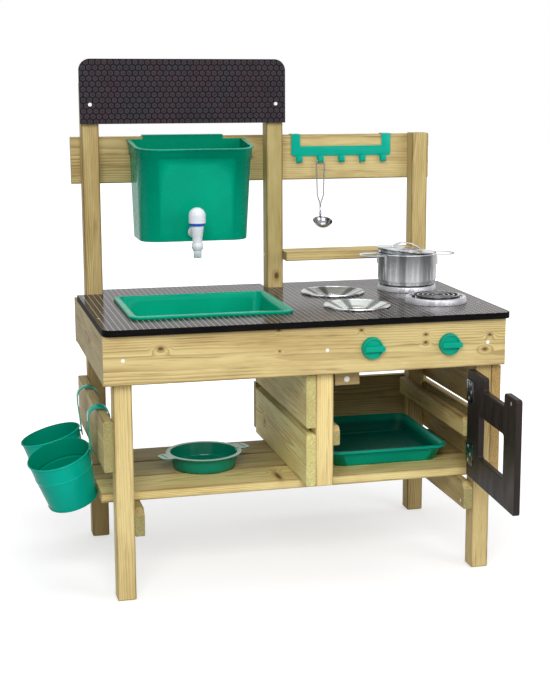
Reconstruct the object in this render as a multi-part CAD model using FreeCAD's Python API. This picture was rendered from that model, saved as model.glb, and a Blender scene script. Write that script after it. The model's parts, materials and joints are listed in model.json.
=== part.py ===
import FreeCAD, Part
import math
import os

# A child's mud kitchen: screwed pine frame, plywood worktop and door, metal and plastic play ware.
# Millimetres, +X to the right, +Y to the back, +Z up. While the pieces are built, X is counted
# from the left end of the front apron, Y from its front face and Z from the floor. The last step
# moves them all so that the middle of the whole part stands over the origin.

Vec = FreeCAD.Vector
parts = {}

# Stock, rounding and play
stock = 38.0
board = 20.0
ply = 13.0
ease = 2.5
foot_chamfer = 3.0
overrun = 1.0
clear = 0.1
notch_play = 1.0
screw_play = 0.05
run_play = 0.08
half = 0.5
quarter_turn = 90

# Frame. A side is given by its distance from the timber that it is fitted to
apron_length = 840.0
apron_height = 100.0
apron_bottom = 450.0
frame_depth = 484.0
middle_post_share = 31 / 60
deck = apron_bottom + apron_height
top_face = deck + ply
leg_front = board
leg_left = board
leg_right = apron_length - board - stock
middle_left = apron_length * middle_post_share
middle_right = middle_left + stock
post_front = frame_depth - stock
back_face = frame_depth + board
leg_mid = board + stock / 2
post_mid = post_front + stock / 2
middle_mid = middle_left + stock / 2
right_mid = leg_right + stock / 2
bay_mid = (leg_left + stock + middle_left) / 2

# Upper rail and the rail for the buckets
rail_rise = 243.0
rail_height = 103.0
rail_short = 5.0
rail_ease = 4.0
rail_bottom = top_face + rail_rise
rail_top = rail_bottom + rail_height
right_post_rise = 3.0
right_post_top = rail_top + right_post_rise
bucket_rail_front_inset = 6.0
bucket_rail_rear_inset = 8.0
bucket_rail_drop = 76.0
bucket_rail_height = 104.0
bucket_rail_top = apron_bottom - bucket_rail_drop
bucket_rail_bottom = bucket_rail_top - bucket_rail_height

# Shelf
shelf_top = 211.0
shelf_front_gap = 22.0
shelf_rear_gap = 33.0
shelf_board_gap = 6.0
shelf_boards = 3
bearer_height = 57.0
bearer_chamfer = 14.0
shelf_bottom = shelf_top - board
shelf_front = leg_front + stock + shelf_front_gap
shelf_rear = post_front - shelf_rear_gap
shelf_board_width = (shelf_rear - shelf_front + shelf_board_gap) / shelf_boards - shelf_board_gap

# Boards of the partition, the right side and the oven's back
side_board_gap = 14.0
side_board_clear = 5.0
side_board_height = (apron_bottom - shelf_top - side_board_gap - side_board_clear) / 2
oven_back_lift = 11.0
runner_width = 18.0
runner_height = 40.0
runner_rise = 80.0
runner_rear_inset = 22.0
runner_chamfer = 10.0
runner_bottom = shelf_top + runner_rise
runner_rear = frame_depth - runner_rear_inset

# Worktop
top_overhang_right = 11.0
top_overhang_front = 10.0
top_overhang_rear = 8.0
top_corner = 22.0
top_edge_ease = 1.2
top_left = 0.0
top_right = apron_length + top_overhang_right
top_front = -top_overhang_front
top_rear = back_face + top_overhang_rear

# Bowls
bowl_x_share = 373 / 560
bowl_front_share = 147 / 484
bowl_rear_share = 84 / 121
bowl_rim = 71.0
bowl_mouth = 66.0
bowl_base = 34.0
bowl_depth = 48.0
bowl_wall = 1.0
bowl_rim_height = 2.2
bowl_rim_ease = 0.73
bowl_curve_out_share = 0.82
bowl_curve_up_share = 0.42
bowl_x = apron_length * bowl_x_share
bowl_front_y = frame_depth * bowl_front_share
bowl_rear_y = frame_depth * bowl_rear_share

# Sink
sink_left = 68.5
sink_bowl_gap = 78.5
sink_front = 92.0
sink_rear_inset = 75.0
sink_corner = 23.0
sink_rim_height = 6.0
sink_rim_lap = 9.0
sink_depth = 100.0
sink_wall = 2.5
sink_taper = 14.0
sink_right = bowl_x - bowl_rim - sink_bowl_gap
sink_rear = post_front - sink_rear_inset

# Hotplates and their spirals
plate_x_share = 53 / 60
plate_front_share = 40 / 121
plate_rear_share = 87 / 121
plate_rear_shift = 3.0
plate_base = 68.0
plate_top = 65.5
plate_height = 13.0
plate_well = 57.5
plate_well_depth = 3.0
coil_wire = 3.0
coil_start = 8.0
coil_step = 5.25
coil_half_turns = 9
plate_x = apron_length * plate_x_share
plate_front_y = frame_depth * plate_front_share
plate_rear_x = plate_x - plate_rear_shift
plate_rear_y = frame_depth * plate_rear_share

# Knobs on the apron
knob_left_inset = 75.5
knob_right_inset = 67.0
knob_rise = 50.5
knob_radius = 23.3
knob_face = 21.3
knob_thick = 11.0
knob_dish = 2.5
knob_bar_width = 11.0
knob_bar_height = 6.0
knob_tip = 24.5
knob_tip_cut = 3.0
knob_bore_depth = 12.0
bolt_radius = 3.0
bolt_head = 5.5
bolt_head_height = 4.0
washer_radius = 8.0
washer_thick = 1.2
knob_left_x = middle_right + knob_left_inset
knob_right_x = leg_right - knob_right_inset
knob_z = apron_bottom + knob_rise

# Door, given closed and then swung to the open angle of the photo
pin_inset = 1.9
pin_stand = 2.8
door_open = 86.4
door_low_gap = 2.0
door_top_gap = 7.0
door_hinge_gap = 5.5
door_free_gap = 1.5
door_front_gap = 0.3
door_notch_depth_share = 11 / 92
door_notch_near_share = 103 / 303
door_notch_far_share = 232 / 303
window_near_share = 77 / 303
window_far_share = 233 / 303
window_low_share = 28 / 115
window_high_share = 42 / 115
door_corner = 7.0
door_ease = 1.4
strike_drop = 13.0
pin_x = leg_right - pin_inset
pin_y = leg_front - pin_stand
door_bottom = shelf_top + door_low_gap
door_top = apron_bottom - door_top_gap
door_height = door_top - door_bottom
door_hinge_edge = leg_right - door_hinge_gap
door_length = door_hinge_edge - middle_right - door_free_gap
strike_z = door_top - strike_drop

# Catch for the door
catch_inset = 7.0
catch_width = 52.0
catch_thick = 33.0
catch_drop = 31.0
catch_screw_inset = 20.0
magnet_inset = 25.0
magnet_rise = 1.0
magnet_radius = 6.0
magnet_depth = 8.0
catch_left = middle_right + catch_inset
catch_right = catch_left + catch_width
catch_front = leg_front + ply + door_front_gap
catch_rear = board + catch_thick
catch_bottom = apron_bottom - catch_drop
magnet_x = catch_left + magnet_inset
magnet_z = strike_z + magnet_rise

# Hinges
hinge_height = 46.0
hinge_low_inset = 28.5
hinge_top_inset = 21.5
hinge_sheet = 1.6
hinge_leaf = 42.0
hinge_leg_leaf = 27.0
knuckle_radius = 3.0
knuckle_play = 0.3
hinge_pin_radius = 1.5
hinge_pin_head = 2.6
hinge_pin_cap = 1.2
hinge_screw_near = 15.0
hinge_screw_far = 29.0
hinge_screw_margin = 8.0
hinge_lower = door_bottom + hinge_low_inset
hinge_upper = door_top - hinge_top_inset - hinge_height
runner_front = catch_front + hinge_sheet + clear

# Screws and where they go
screw_head = 4.0
screw_shank = 2.0
screw_cone = 2.5
screw_sink = 0.4
screw_long = 45.0
screw_middle = 38.0
screw_short = 10.0
apron_screw_inset = 25.0
rail_screw_inset = 28.0
bucket_screw_inset = 30.0
bearer_screw_rise = 14.25
side_screw_low = 20.0
side_screw_high = 36.0
back_screw_low = 38.0
back_screw_high = 16.0
runner_screw_rise = 16.0
runner_screw_inset = 10.0
catch_screw_drop = 33.3
top_screw_front = 114.0
top_screw_rear = 38.0
mini_screw_inset = 27.4

# Honeycomb board
comb_left = 17.0
comb_over = 3.0
comb_thick = 12.0
comb_rise = 30.0
comb_height = 140.0
comb_corner = 25.0
comb_screw_rise = 42.0
post_top_drop = 52.0
comb_right = middle_right + comb_over
comb_bottom = rail_top + comb_rise
comb_top = comb_bottom + comb_height
comb_screw_z = comb_bottom + comb_screw_rise
rear_post_top = comb_top - post_top_drop

# Tank
tank_shift = 10.0
tank_side_room = 61.0
tank_taper = 6.5
tank_top_depth = 144.0
tank_base_depth = 118.0
tank_hang = 121.0
tank_rim_front_drop = 21.0
tank_rim_rear_drop = 6.0
tank_corner = 40.0
tank_wall = 2.5
tank_floor = 3.0
tank_rim_flare = 7.0
tank_rim_thick = 3.0
tank_band = 18.0
tank_band_step = 2.0
tank_slope_reach = 21.0
tank_lip_left_inset = 30.0
tank_lip_right_inset = 42.0
tank_lip_thick = 3.0
tank_lip_drop = 14.0
tank_back_gap = 0.3
tank_x = bay_mid + tank_shift
tank_top_half = (middle_left - leg_left - stock) / 2 - tank_side_room
tank_base_half = tank_top_half - tank_taper
tank_top_front = frame_depth - tank_top_depth
tank_base_front = frame_depth - tank_base_depth
tank_base_z = rail_bottom - tank_hang
tank_rim_front_z = rail_top - tank_rim_front_drop
tank_rim_rear_z = rail_top - tank_rim_rear_drop
tank_lip_left = tank_x - tank_top_half + tank_lip_left_inset
tank_lip_right = tank_x + tank_top_half - tank_lip_right_inset

# Tap. Its body is turned from heights above the mouth of the nozzle
tap_shift = 7.0
tap_reach = 22.0
tap_spigot_rise = 21.5
tap_drop = 51.5
tap_nozzle = 8.8
tap_nozzle_height = 15.0
tap_step = 10.5
tap_step_height = 17.0
tap_collar = 12.6
tap_collar_low = 22.0
tap_collar_high = 28.0
tap_waist = 10.6
tap_waist_low = 34.0
tap_waist_high = 42.0
tap_flare = 13.0
tap_flare_height = 57.0
tap_shoulder = 14.0
tap_shoulder_height = 65.0
tap_height = 70.5
tap_spigot = 7.0
tap_hole_reach = 10.0
tap_flange = 13.0
tap_flange_thick = 5.0
tap_nut = 13.0
tap_nut_thick = 8.0
tap_nut_flats = 6
tap_ring_height = 5.0
tap_cap_height = 39.0
tap_cap = 18.5
tap_x = tank_x - tap_shift
tap_y = tank_top_front - tap_reach
tap_spigot_z = tank_base_z + tap_spigot_rise
tap_low = tap_spigot_z - tap_drop
tap_body_top = tap_low + tap_height
tap_cap_top = tap_body_top + tap_cap_height

# Hook strip and ladle
strip_left_inset = 29.0
strip_right_inset = 42.0
strip_drop = 26.2
strip_height = 22.2
strip_stand = 4.0
strip_sheet = 1.5
strip_arm = 21.5
strip_lip = 12.0
strip_corner = 5.0
hook_first_inset = 17.4
hook_last_inset = 20.0
hook_count = 5
hook_width = 13.0
hook_drop = 8.5
hook_bend = 6.5
hook_rise = 9.0
strip_left = middle_right + strip_left_inset
strip_right = leg_right - strip_right_inset
strip_top = rail_top - strip_drop
strip_bottom = strip_top - strip_height
strip_face = frame_depth - strip_stand
hook_first = strip_left + hook_first_inset
hook_pitch = (strip_right - hook_last_inset - hook_first) / (hook_count - 1)
ladle_hook = 1
ladle_wire = 1.5
ladle_flat_half = 7.4
ladle_wire_half = 9.7
ladle_shoulder = 5.5
ladle_bend_half = 7.3
ladle_bend_drop = 78.7
ladle_join_drop = 95.7
ladle_neck = 2.2
ladle_collar = 3.2
ladle_rim_drop = 127.7
ladle_ball = 24.5
ladle_depth = 16.0
ladle_cup_wall = 0.8
ladle_tip = 22.0

# Buckets and their straps
bucket_front_share = 131 / 484
bucket_rear_share = 331 / 484
bucket_front_lean = 9.9
bucket_rear_lean = 0.0
bucket_rim = 66.2
bucket_roll = 1.7
bucket_base = 51.0
bucket_height = 109.0
bucket_wall = 0.8
bucket_tilt = 15.4
bucket_off = 14.6
bucket_rim_drop = 78.0
bucket_rib_drop = 38.0
bucket_rib = 1.8
strap_width = 20.0
strap_sheet = 2.0
strap_arch = 21.0
strap_arch_x = 4.0
strap_inner_leg = 6.0
strap_outer_leg = 14.0
strap_foot_x = 9.7
strap_foot_drop = 100.0
rivet_radius = 2.0
rivet_head = 3.6
rivet_cap = 1.2
rivet_reach = 4.8
rivet_drop = 91.0
bucket_front_hang = frame_depth * bucket_front_share
bucket_rear_hang = frame_depth * bucket_rear_share
bucket_rim_z = bucket_rail_top - bucket_rim_drop
strap_foot_z = bucket_rail_top - strap_foot_drop
rivet_z = bucket_rail_top - rivet_drop

# Pot and lid
pot_left_shift = 2.5
pot_front_shift = 9.0
pot_radius = 66.4
pot_wall = 1.2
pot_height = 70.0
pot_foot = 62.2
pot_foot_height = 3.0
pot_curve_in = 2.0
pot_curve_low = 3.0
pot_curve_high = 9.0
pot_roll = 1.3
handle_wire = 2.0
handle_half = 26.0
handle_end = 20.8
handle_reach = 111.5
handle_drop = 4.1
handle_leg = 22.0
lid_radius = 67.2
lid_sheet = 1.2
lid_edge = 1.8
lid_skirt = 62.2
lid_skirt_depth = 9.0
lid_shift = 5.0
lid_tilt = 6.0
lid_lift = 1.85
lid_dome = 4.5
lid_strap = 18.0
lid_strap_sheet = 2.0
lid_strap_span = 36.0
lid_strap_rise = 14.5
pot_x = plate_rear_x - pot_left_shift
pot_y = plate_rear_y - pot_front_shift
pot_low = top_face + plate_height + coil_wire * 2 - plate_well_depth + clear
pot_top = pot_low + pot_height
handle_z = pot_top - handle_drop

# Small shelf behind the pot
mini_pot_gap = 6.6
mini_rise = 64.0
mini_groove = 1.5
mini_groove_low = 6.0
mini_groove_high = 12.5
mini_front = pot_y + pot_radius + mini_pot_gap
mini_bottom = top_face + mini_rise

# Pan on the shelf
pan_left_shift = 6.0
pan_y_share = 115 / 242
pan_rim = 82.0
pan_base = 67.0
pan_height = 34.0
pan_wall = 1.2
pan_flange = 8.0
pan_turn = 16.0
pan_lug_tip = 105.0
pan_lug_half = 22.0
pan_lug_ease = 13.2
pan_lug_thick = 2.0
pan_lug_hole = 3.0
pan_lug_hole_pitch = 11.0
pan_x = bay_mid - pan_left_shift
pan_y = frame_depth * pan_y_share

# Tray in the oven
tray_left_inset = 22.0
tray_right_inset = 14.0
tray_front = 128.0
tray_rear_inset = 41.0
tray_height = 37.0
tray_flare = 20.0
tray_corner = 24.0
tray_wall = 2.0
tray_lip = 6.0
tray_lip_height = 5.0
tray_left = middle_right + tray_left_inset
tray_right = leg_right - tray_right_inset
tray_rear = frame_depth - tray_rear_inset


def block(x0, x1, y0, y1, z0, z1):
    return Part.makeBox(x1 - x0, y1 - y0, z1 - z0, Vec(x0, y0, z0))


def rod(radius, start, end):
    start, end = Vec(*start), Vec(*end)
    way = end - start
    return Part.makeCylinder(radius, way.Length, start, way)


def edges_along(shape, axis, test=None):
    """The straight edges of a shape that run along an axis, 0 for X, 1 for Y and 2 for Z."""
    found = []
    for edge in shape.Edges:
        if len(edge.Vertexes) != 2 or edge.Curve.TypeId != "Part::GeomLine":
            continue
        way = edge.Vertexes[1].Point - edge.Vertexes[0].Point
        if abs(abs(way[axis]) - way.Length) < clear and (test is None or test(edge.CenterOfMass)):
            found.append(edge)
    return found


def timber(x0, x1, y0, y1, z0, z1, rounding=ease):
    """A planed board with its four long edges rounded."""
    shape = block(x0, x1, y0, y1, z0, z1)
    sizes = (x1 - x0, y1 - y0, z1 - z0)
    return shape.makeFillet(rounding, edges_along(shape, sizes.index(max(sizes))))


def upright(x0, y0, z0, z1):
    """A square leg or post with rounded edges; one that reaches the floor has a chamfered foot."""
    shape = block(x0, x0 + stock, y0, y0 + stock, z0, z1)
    shape = shape.makeFillet(ease, edges_along(shape, 2))
    if z0 == 0:
        middle = Vec(x0 + stock / 2, y0 + stock / 2, 0)
        reach = stock / 2
        low = Part.makeLoft([square(middle, reach - foot_chamfer, 0),
                             square(middle, reach + overrun, foot_chamfer + overrun)], True, True)
        high = block(x0 - overrun, x0 + stock + overrun, y0 - overrun, y0 + stock + overrun,
                     foot_chamfer + overrun, z1 + overrun)
        shape = shape.common(low.fuse(high).removeSplitter())
    return shape


def square(middle, reach, z):
    points = [Vec(middle.x + a * reach, middle.y + b * reach, z)
              for a, b in ((-1, -1), (1, -1), (1, 1), (-1, 1), (-1, -1))]
    return Part.makePolygon(points)


def round_rect(x0, x1, y0, y1, z, corner, rear_corner=None):
    """A closed wire, a rectangle with rounded front and rear corners."""
    rear = corner if rear_corner is None else rear_corner
    quarter = quarter_turn
    corners = ((x1 - corner, y0 + corner, corner, -quarter), (x1 - rear, y1 - rear, rear, 0),
               (x0 + rear, y1 - rear, rear, quarter), (x0 + corner, y0 + corner, corner, 2 * quarter))
    arcs = []
    for x, y, r, start in corners:
        ends = [Vec(x + r * math.cos(math.radians(start + step)),
                    y + r * math.sin(math.radians(start + step)), z) for step in (0, quarter / 2, quarter)]
        arcs.append(Part.Arc(*ends).toShape())
    edges = []
    for i, arc in enumerate(arcs):
        follower = arcs[(i + 1) % len(arcs)]
        edges.append(arc)
        edges.append(Part.makeLine(arc.Vertexes[1].Point, follower.Vertexes[0].Point))
    return Part.Wire(edges)


def tub(low, high):
    """A solid between two closed outlines of the same kind."""
    return Part.makeLoft([low, high], True, True)


def prism(outline, height):
    return Part.Face(outline).extrude(Vec(0, 0, height))


def turned(profile, x=0.0, y=0.0):
    """A solid turned about the upright axis through x, y from points (radius, z)."""
    points = [Vec(r, 0, z) for r, z in profile]
    face = Part.Face(Part.makePolygon(points + points[:1]))
    solid = face.revolve(Vec(0, 0, 0), Vec(0, 0, 1), 4 * quarter_turn)
    solid.translate(Vec(x, y, 0))
    return solid


def group(solids):
    return Part.makeCompound(solids)


def screw_solid(point, way, length, play):
    """A countersunk screw with its head just under the surface at point, or with play its hole."""
    point, way = Vec(*point), Vec(*way)
    cone = Part.makeCone(screw_head + play, screw_shank + play, screw_cone, point + way * screw_sink, way)
    shank = Part.makeCylinder(screw_shank + play, length - screw_sink - screw_cone,
                              point + way * (screw_sink + screw_cone), way)
    shape = cone.fuse(shank)
    if play:
        mouth = Part.makeCylinder(screw_head + play, screw_sink + overrun, point - way * overrun, way)
        shape = shape.fuse(mouth)
    return shape


screws = {"frame_screws": [], "door_screws": []}


def drive(point, way, length, names, node="frame_screws"):
    """Add one screw and drill its hole through the named pieces."""
    screws[node].append(screw_solid(point, way, length, 0.0))
    hole = screw_solid(point, way, length + screw_play, screw_play)
    for name in names:
        parts[name] = parts[name].cut(hole)


# Timber frame

def frame():
    parts["front_left_leg"] = upright(leg_left, leg_front, 0.0, deck)
    parts["front_right_leg"] = upright(leg_right, leg_front, 0.0, deck)
    parts["front_middle_post"] = upright(middle_left, leg_front, shelf_top, deck)
    parts["rear_left_post"] = upright(leg_left, post_front, 0.0, rear_post_top)
    parts["rear_middle_post"] = upright(middle_left, post_front, shelf_top, rear_post_top)
    parts["rear_right_post"] = upright(leg_right, post_front, 0.0, right_post_top)

    inner = apron_length - board
    parts["front_apron"] = timber(0.0, apron_length, 0.0, board, apron_bottom, deck)
    parts["left_side_apron"] = timber(0.0, board, board, frame_depth, apron_bottom, deck)
    parts["right_side_apron"] = timber(inner, apron_length, board, frame_depth, apron_bottom, deck)
    parts["rear_apron"] = timber(0.0, apron_length, frame_depth, back_face, apron_bottom, deck)
    parts["upper_rail"] = timber(0.0, apron_length - rail_short, frame_depth, back_face,
                                 rail_bottom, rail_top, rail_ease)
    front, rear = board + bucket_rail_front_inset, frame_depth - bucket_rail_rear_inset
    parts["bucket_rail"] = timber(0.0, board, front, rear, bucket_rail_bottom, bucket_rail_top)


def shelf():
    left = leg_left + stock
    bearer_bottom = shelf_bottom - bearer_height
    for name, x0 in (("left_shelf_bearer", left), ("right_shelf_bearer", leg_right - board)):
        shape = timber(x0, x0 + board, board, frame_depth, bearer_bottom, shelf_bottom)
        parts[name] = front_chamfer(shape, x0, board, shelf_bottom, bearer_chamfer, board)
    y = shelf_front
    for name in ("front_shelf_board", "middle_shelf_board", "rear_shelf_board"):
        parts[name] = timber(0.0, apron_length, y, y + shelf_board_width, shelf_bottom, shelf_top)
        y += shelf_board_width + shelf_board_gap


def front_chamfer(shape, x0, y0, z_top, size, width):
    """Cut the front top corner of a piece that runs along Y."""
    wedge = Part.makePolygon([Vec(x0 - overrun, y0 - overrun, z_top - size - overrun),
                              Vec(x0 - overrun, y0 - overrun, z_top + overrun),
                              Vec(x0 - overrun, y0 + size + overrun, z_top + overrun),
                              Vec(x0 - overrun, y0 - overrun, z_top - size - overrun)])
    return shape.cut(Part.Face(wedge).extrude(Vec(width + 2 * overrun, 0, 0)))


def side_boards():
    upper = shelf_top + side_board_height + side_board_gap
    levels = (("lower", shelf_top), ("upper", upper))
    inner = apron_length - board
    for level, z0 in levels:
        z1 = z0 + side_board_height
        parts["partition_" + level + "_board"] = timber(middle_left - board, middle_left,
                                                        board, frame_depth, z0, z1)
        parts["right_side_" + level + "_board"] = timber(inner, apron_length, board, frame_depth, z0, z1)
    z0 = shelf_top + oven_back_lift
    parts["oven_rear_board"] = timber(middle_left - board, apron_length, frame_depth, back_face,
                                      z0, z0 + side_board_height)
    z1 = runner_bottom + runner_height
    for name, x0 in (("left_tray_runner", middle_right), ("right_tray_runner", leg_right - runner_width)):
        shape = timber(x0, x0 + runner_width, runner_front, runner_rear, runner_bottom, z1)
        parts[name] = front_chamfer(shape, x0, runner_front, z1, runner_chamfer, runner_width)


def catch():
    tall = block(catch_left, catch_right, board, catch_rear, apron_bottom, deck)
    low = block(catch_left, catch_right, catch_front, catch_rear, catch_bottom, apron_bottom + overrun)
    shape = tall.fuse(low).removeSplitter()
    pocket = rod(magnet_radius + screw_play, (magnet_x, catch_front - overrun, magnet_z),
                 (magnet_x, catch_front + magnet_depth, magnet_z))
    parts["catch_block"] = shape.cut(pocket)
    parts["door_magnet"] = rod(magnet_radius, (magnet_x, catch_front, magnet_z),
                               (magnet_x, catch_front + magnet_depth - screw_play, magnet_z))


def honeycomb_board():
    shape = block(comb_left, comb_right, post_front - comb_thick, post_front, comb_bottom, comb_top)
    parts["honeycomb_board"] = shape.makeFillet(
        comb_corner, edges_along(shape, 1, lambda p: p.z > comb_bottom + comb_corner))


def mini_shelf():
    top = mini_bottom + board
    shape = timber(middle_right, leg_right, mini_front, frame_depth, mini_bottom, top)
    for rise in (mini_groove_low, mini_groove_high):
        z = mini_bottom + rise
        shape = shape.cut(rod(mini_groove, (middle_right - overrun, mini_front, z),
                              (leg_right + overrun, mini_front, z)))
    parts["mini_shelf"] = shape


def worktop():
    shape = block(top_left, top_right, top_front, top_rear, deck, top_face)
    front = edges_along(shape, 2, lambda p: p.y < top_front + overrun)
    shape = shape.makeFillet(top_corner, front)
    rim = [e for e in shape.Edges if e.BoundBox.ZMin > top_face - clear]
    shape = shape.makeFillet(top_edge_ease, rim)
    low, high = deck - overrun, top_face + overrun
    y0 = post_front - notch_play
    rear = top_rear + overrun
    cuts = [block(top_left - overrun, leg_left + stock + notch_play, y0, rear, low, high),
            block(leg_right - notch_play, top_right + overrun, y0, rear, low, high),
            block(middle_left - notch_play, middle_right + notch_play, y0, rear, low, high)]
    lap = sink_rim_lap
    hole = round_rect(sink_left + lap, sink_right - lap, sink_front + lap, sink_rear - lap, low,
                      sink_corner - lap)
    cuts.append(prism(hole, high - low))
    for y in (bowl_front_y, bowl_rear_y):
        cuts.append(rod(bowl_mouth + notch_play, (bowl_x, y, low), (bowl_x, y, high)))
    for cut in cuts:
        shape = shape.cut(cut)
    parts["worktop"] = shape


# Play ware that sits in or on the worktop

def sink():
    lap = sink_rim_lap
    rim_top = top_face + sink_rim_height
    x0, x1 = sink_left + lap + notch_play, sink_right - lap - notch_play
    y0, y1 = sink_front + lap + notch_play, sink_rear - lap - notch_play
    floor_z = rim_top - sink_depth
    outer = tub(round_rect(x0 + sink_taper, x1 - sink_taper, y0 + sink_taper, y1 - sink_taper,
                           floor_z, sink_corner - lap),
                round_rect(x0, x1, y0, y1, top_face, sink_corner - lap))
    rim = prism(round_rect(sink_left, sink_right, sink_front, sink_rear, top_face, sink_corner),
                sink_rim_height)
    crown = [e for e in rim.Edges if e.BoundBox.ZMin > rim_top - clear]
    rim = rim.makeFillet(ease, crown)
    wall = sink_wall
    taper = sink_taper
    inner = tub(round_rect(x0 + taper + wall, x1 - taper - wall, y0 + taper + wall, y1 - taper - wall,
                           floor_z + wall, sink_corner - lap - wall),
                round_rect(x0 + wall, x1 - wall, y0 + wall, y1 - wall,
                           rim_top + overrun, sink_corner - lap - wall))
    parts["sink"] = outer.fuse(rim).cut(inner).removeSplitter()


def bowl(y):
    """A round bowl with a flat base, hung by its rim in the worktop."""
    def body(grow, z_low):
        base, mouth = bowl_base + grow, bowl_mouth - bowl_wall + grow
        arc = Part.Arc(Vec(base, 0, z_low),
                       Vec(base + (mouth - base) * bowl_curve_out_share, 0,
                           z_low + (top_face - z_low) * bowl_curve_up_share),
                       Vec(mouth, 0, top_face + bowl_rim_height)).toShape()
        axis_low = Vec(0, 0, z_low)
        axis_high = Vec(0, 0, top_face + bowl_rim_height)
        wire = Part.Wire([Part.makeLine(axis_low, arc.Vertexes[0].Point), arc,
                          Part.makeLine(arc.Vertexes[1].Point, axis_high),
                          Part.makeLine(axis_high, axis_low)])
        return Part.Face(wire).revolve(Vec(0, 0, 0), Vec(0, 0, 1), 4 * quarter_turn)

    z_low = top_face + bowl_rim_height - bowl_depth
    outer = body(bowl_wall, z_low)
    inner = body(0.0, z_low + bowl_wall)
    flange = Part.makeCylinder(bowl_rim, bowl_rim_height, Vec(0, 0, top_face))
    flange = flange.makeFillet(bowl_rim_ease, [e for e in flange.Edges if e.BoundBox.ZMin > top_face + clear])
    shape = outer.fuse(flange).cut(inner).removeSplitter()
    shape.translate(Vec(bowl_x, y, 0))
    return shape


def hotplate(x, y):
    high = top_face + plate_height
    shape = Part.makeCone(plate_base, plate_top, plate_height, Vec(x, y, top_face))
    shape = shape.makeFillet(ease, [e for e in shape.Edges if e.BoundBox.ZMin > high - clear])
    well = Part.makeCylinder(plate_well, plate_well_depth + overrun, Vec(x, y, high - plate_well_depth))
    return shape.cut(well)


def spiral(x, y, z):
    """A flat wire spiral of half circles, each a little wider than the last."""
    edges = []
    radius = coil_start
    centre = 0.0
    side = 1
    for turn in range(coil_half_turns):
        start = Vec(x + centre + side * radius, y, z)
        middle = Vec(x + centre, y + side * radius, z)
        end = Vec(x + centre - side * radius, y, z)
        edges.append(Part.Arc(start, middle, end).toShape())
        radius += coil_step
        centre += side * coil_step
        side = -side
    wire = Part.Wire(edges)
    start = edges[0].Vertexes[0].Point
    circle = Part.Wire([Part.makeCircle(coil_wire, start, Vec(0, 1, 0))])
    return wire.makePipeShell([circle], True, True)


def hotplates():
    parts["front_hotplate"] = hotplate(plate_x, plate_front_y)
    parts["rear_hotplate"] = hotplate(plate_rear_x, plate_rear_y)
    z = top_face + plate_height - plate_well_depth + coil_wire
    middles = ((plate_x, plate_front_y), (plate_rear_x, plate_rear_y))
    parts["hotplate_coils"] = group([spiral(x, y, z) for x, y in middles])


def knob(x):
    """A knob with a bar across it that points to the right, and the bolt it turns on."""
    body = Part.makeCone(knob_radius, knob_face, knob_thick)
    body = body.makeFillet(overrun, [e for e in body.Edges if e.BoundBox.ZMin > knob_thick - clear])
    dish = Part.makeCylinder(knob_face - ease, knob_dish + overrun, Vec(0, 0, knob_thick - knob_dish))
    reach = knob_bar_width / 2
    bar_top = knob_thick + knob_bar_height
    bar = block(ease - knob_face, knob_tip, -reach, reach, knob_thick - knob_dish - overrun, bar_top)
    tip = block(0.0, knob_tip, -reach, reach, overrun, knob_thick)
    at_nose = lambda p: p.x > knob_tip - clear
    tip = tip.makeChamfer(knob_tip_cut, edges_along(tip, 2, at_nose))
    bar = bar.makeChamfer(knob_tip_cut, edges_along(bar, 2, at_nose))
    bore = Part.makeCylinder(bolt_radius + screw_play, knob_bore_depth + overrun, Vec(0, 0, -overrun))
    shape = body.cut(dish).fuse([bar, tip]).removeSplitter().cut(bore)

    bolt = Part.makeCylinder(bolt_radius, board + knob_bore_depth, Vec(0, 0, -board - clear))
    head = Part.makeCylinder(bolt_head, bolt_head_height,
                             Vec(0, 0, -board - 2 * clear - washer_thick - bolt_head_height))
    neck = Part.makeCylinder(bolt_radius, washer_thick + clear, Vec(0, 0, -board - 2 * clear - washer_thick))
    washer = Part.makeCylinder(washer_radius, washer_thick, Vec(0, 0, -board - clear - washer_thick - clear))
    washer = washer.cut(Part.makeCylinder(bolt_radius + screw_play, washer_thick + 2 * overrun,
                                          Vec(0, 0, -board - clear - washer_thick - overrun)))
    stud = bolt.fuse([head, neck]).removeSplitter()
    pieces = [shape, group([stud, washer])]
    for piece in pieces:
        piece.rotate(Vec(0, 0, 0), Vec(1, 0, 0), quarter_turn)
        piece.translate(Vec(x, -clear, knob_z))
    hole = rod(bolt_radius + run_play, (x, -overrun, knob_z), (x, board + overrun, knob_z))
    parts["front_apron"] = parts["front_apron"].cut(hole)
    return pieces


def knobs():
    for side, x in (("left", knob_left_x), ("right", knob_right_x)):
        parts[side + "_knob"], parts[side + "_knob_bolt"] = knob(x)


# Door and hinges, built closed

def door():
    y0 = catch_front - ply
    y1 = catch_front - clear

    def along(s):
        return door_hinge_edge - s

    shape = block(along(door_length), along(0.0), y0, y1, door_bottom, door_top)
    floor_z = door_top - door_height * door_notch_depth_share
    notch = block(along(door_length * door_notch_far_share), along(door_length * door_notch_near_share),
                  y0 - overrun, y1 + overrun, floor_z, door_top + overrun)
    shape = shape.cut(notch)
    shape = shape.makeFillet(door_corner, edges_along(shape, 1))
    window = block(along(door_length * window_far_share), along(door_length * window_near_share),
                   y0 - overrun, y1 + overrun, door_bottom + door_height * window_low_share,
                   door_top - door_height * window_high_share)
    window = window.makeFillet(door_corner, edges_along(window, 1))
    shape = shape.cut(window)
    hinge_edge = along(0.0) - clear
    rims = [e for e in shape.Edges if (e.BoundBox.YMax < y0 + clear or e.BoundBox.YMin > y1 - clear)
            and e.CenterOfMass.x < hinge_edge]
    parts["door"] = shape.makeFillet(door_ease, rims)


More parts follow.
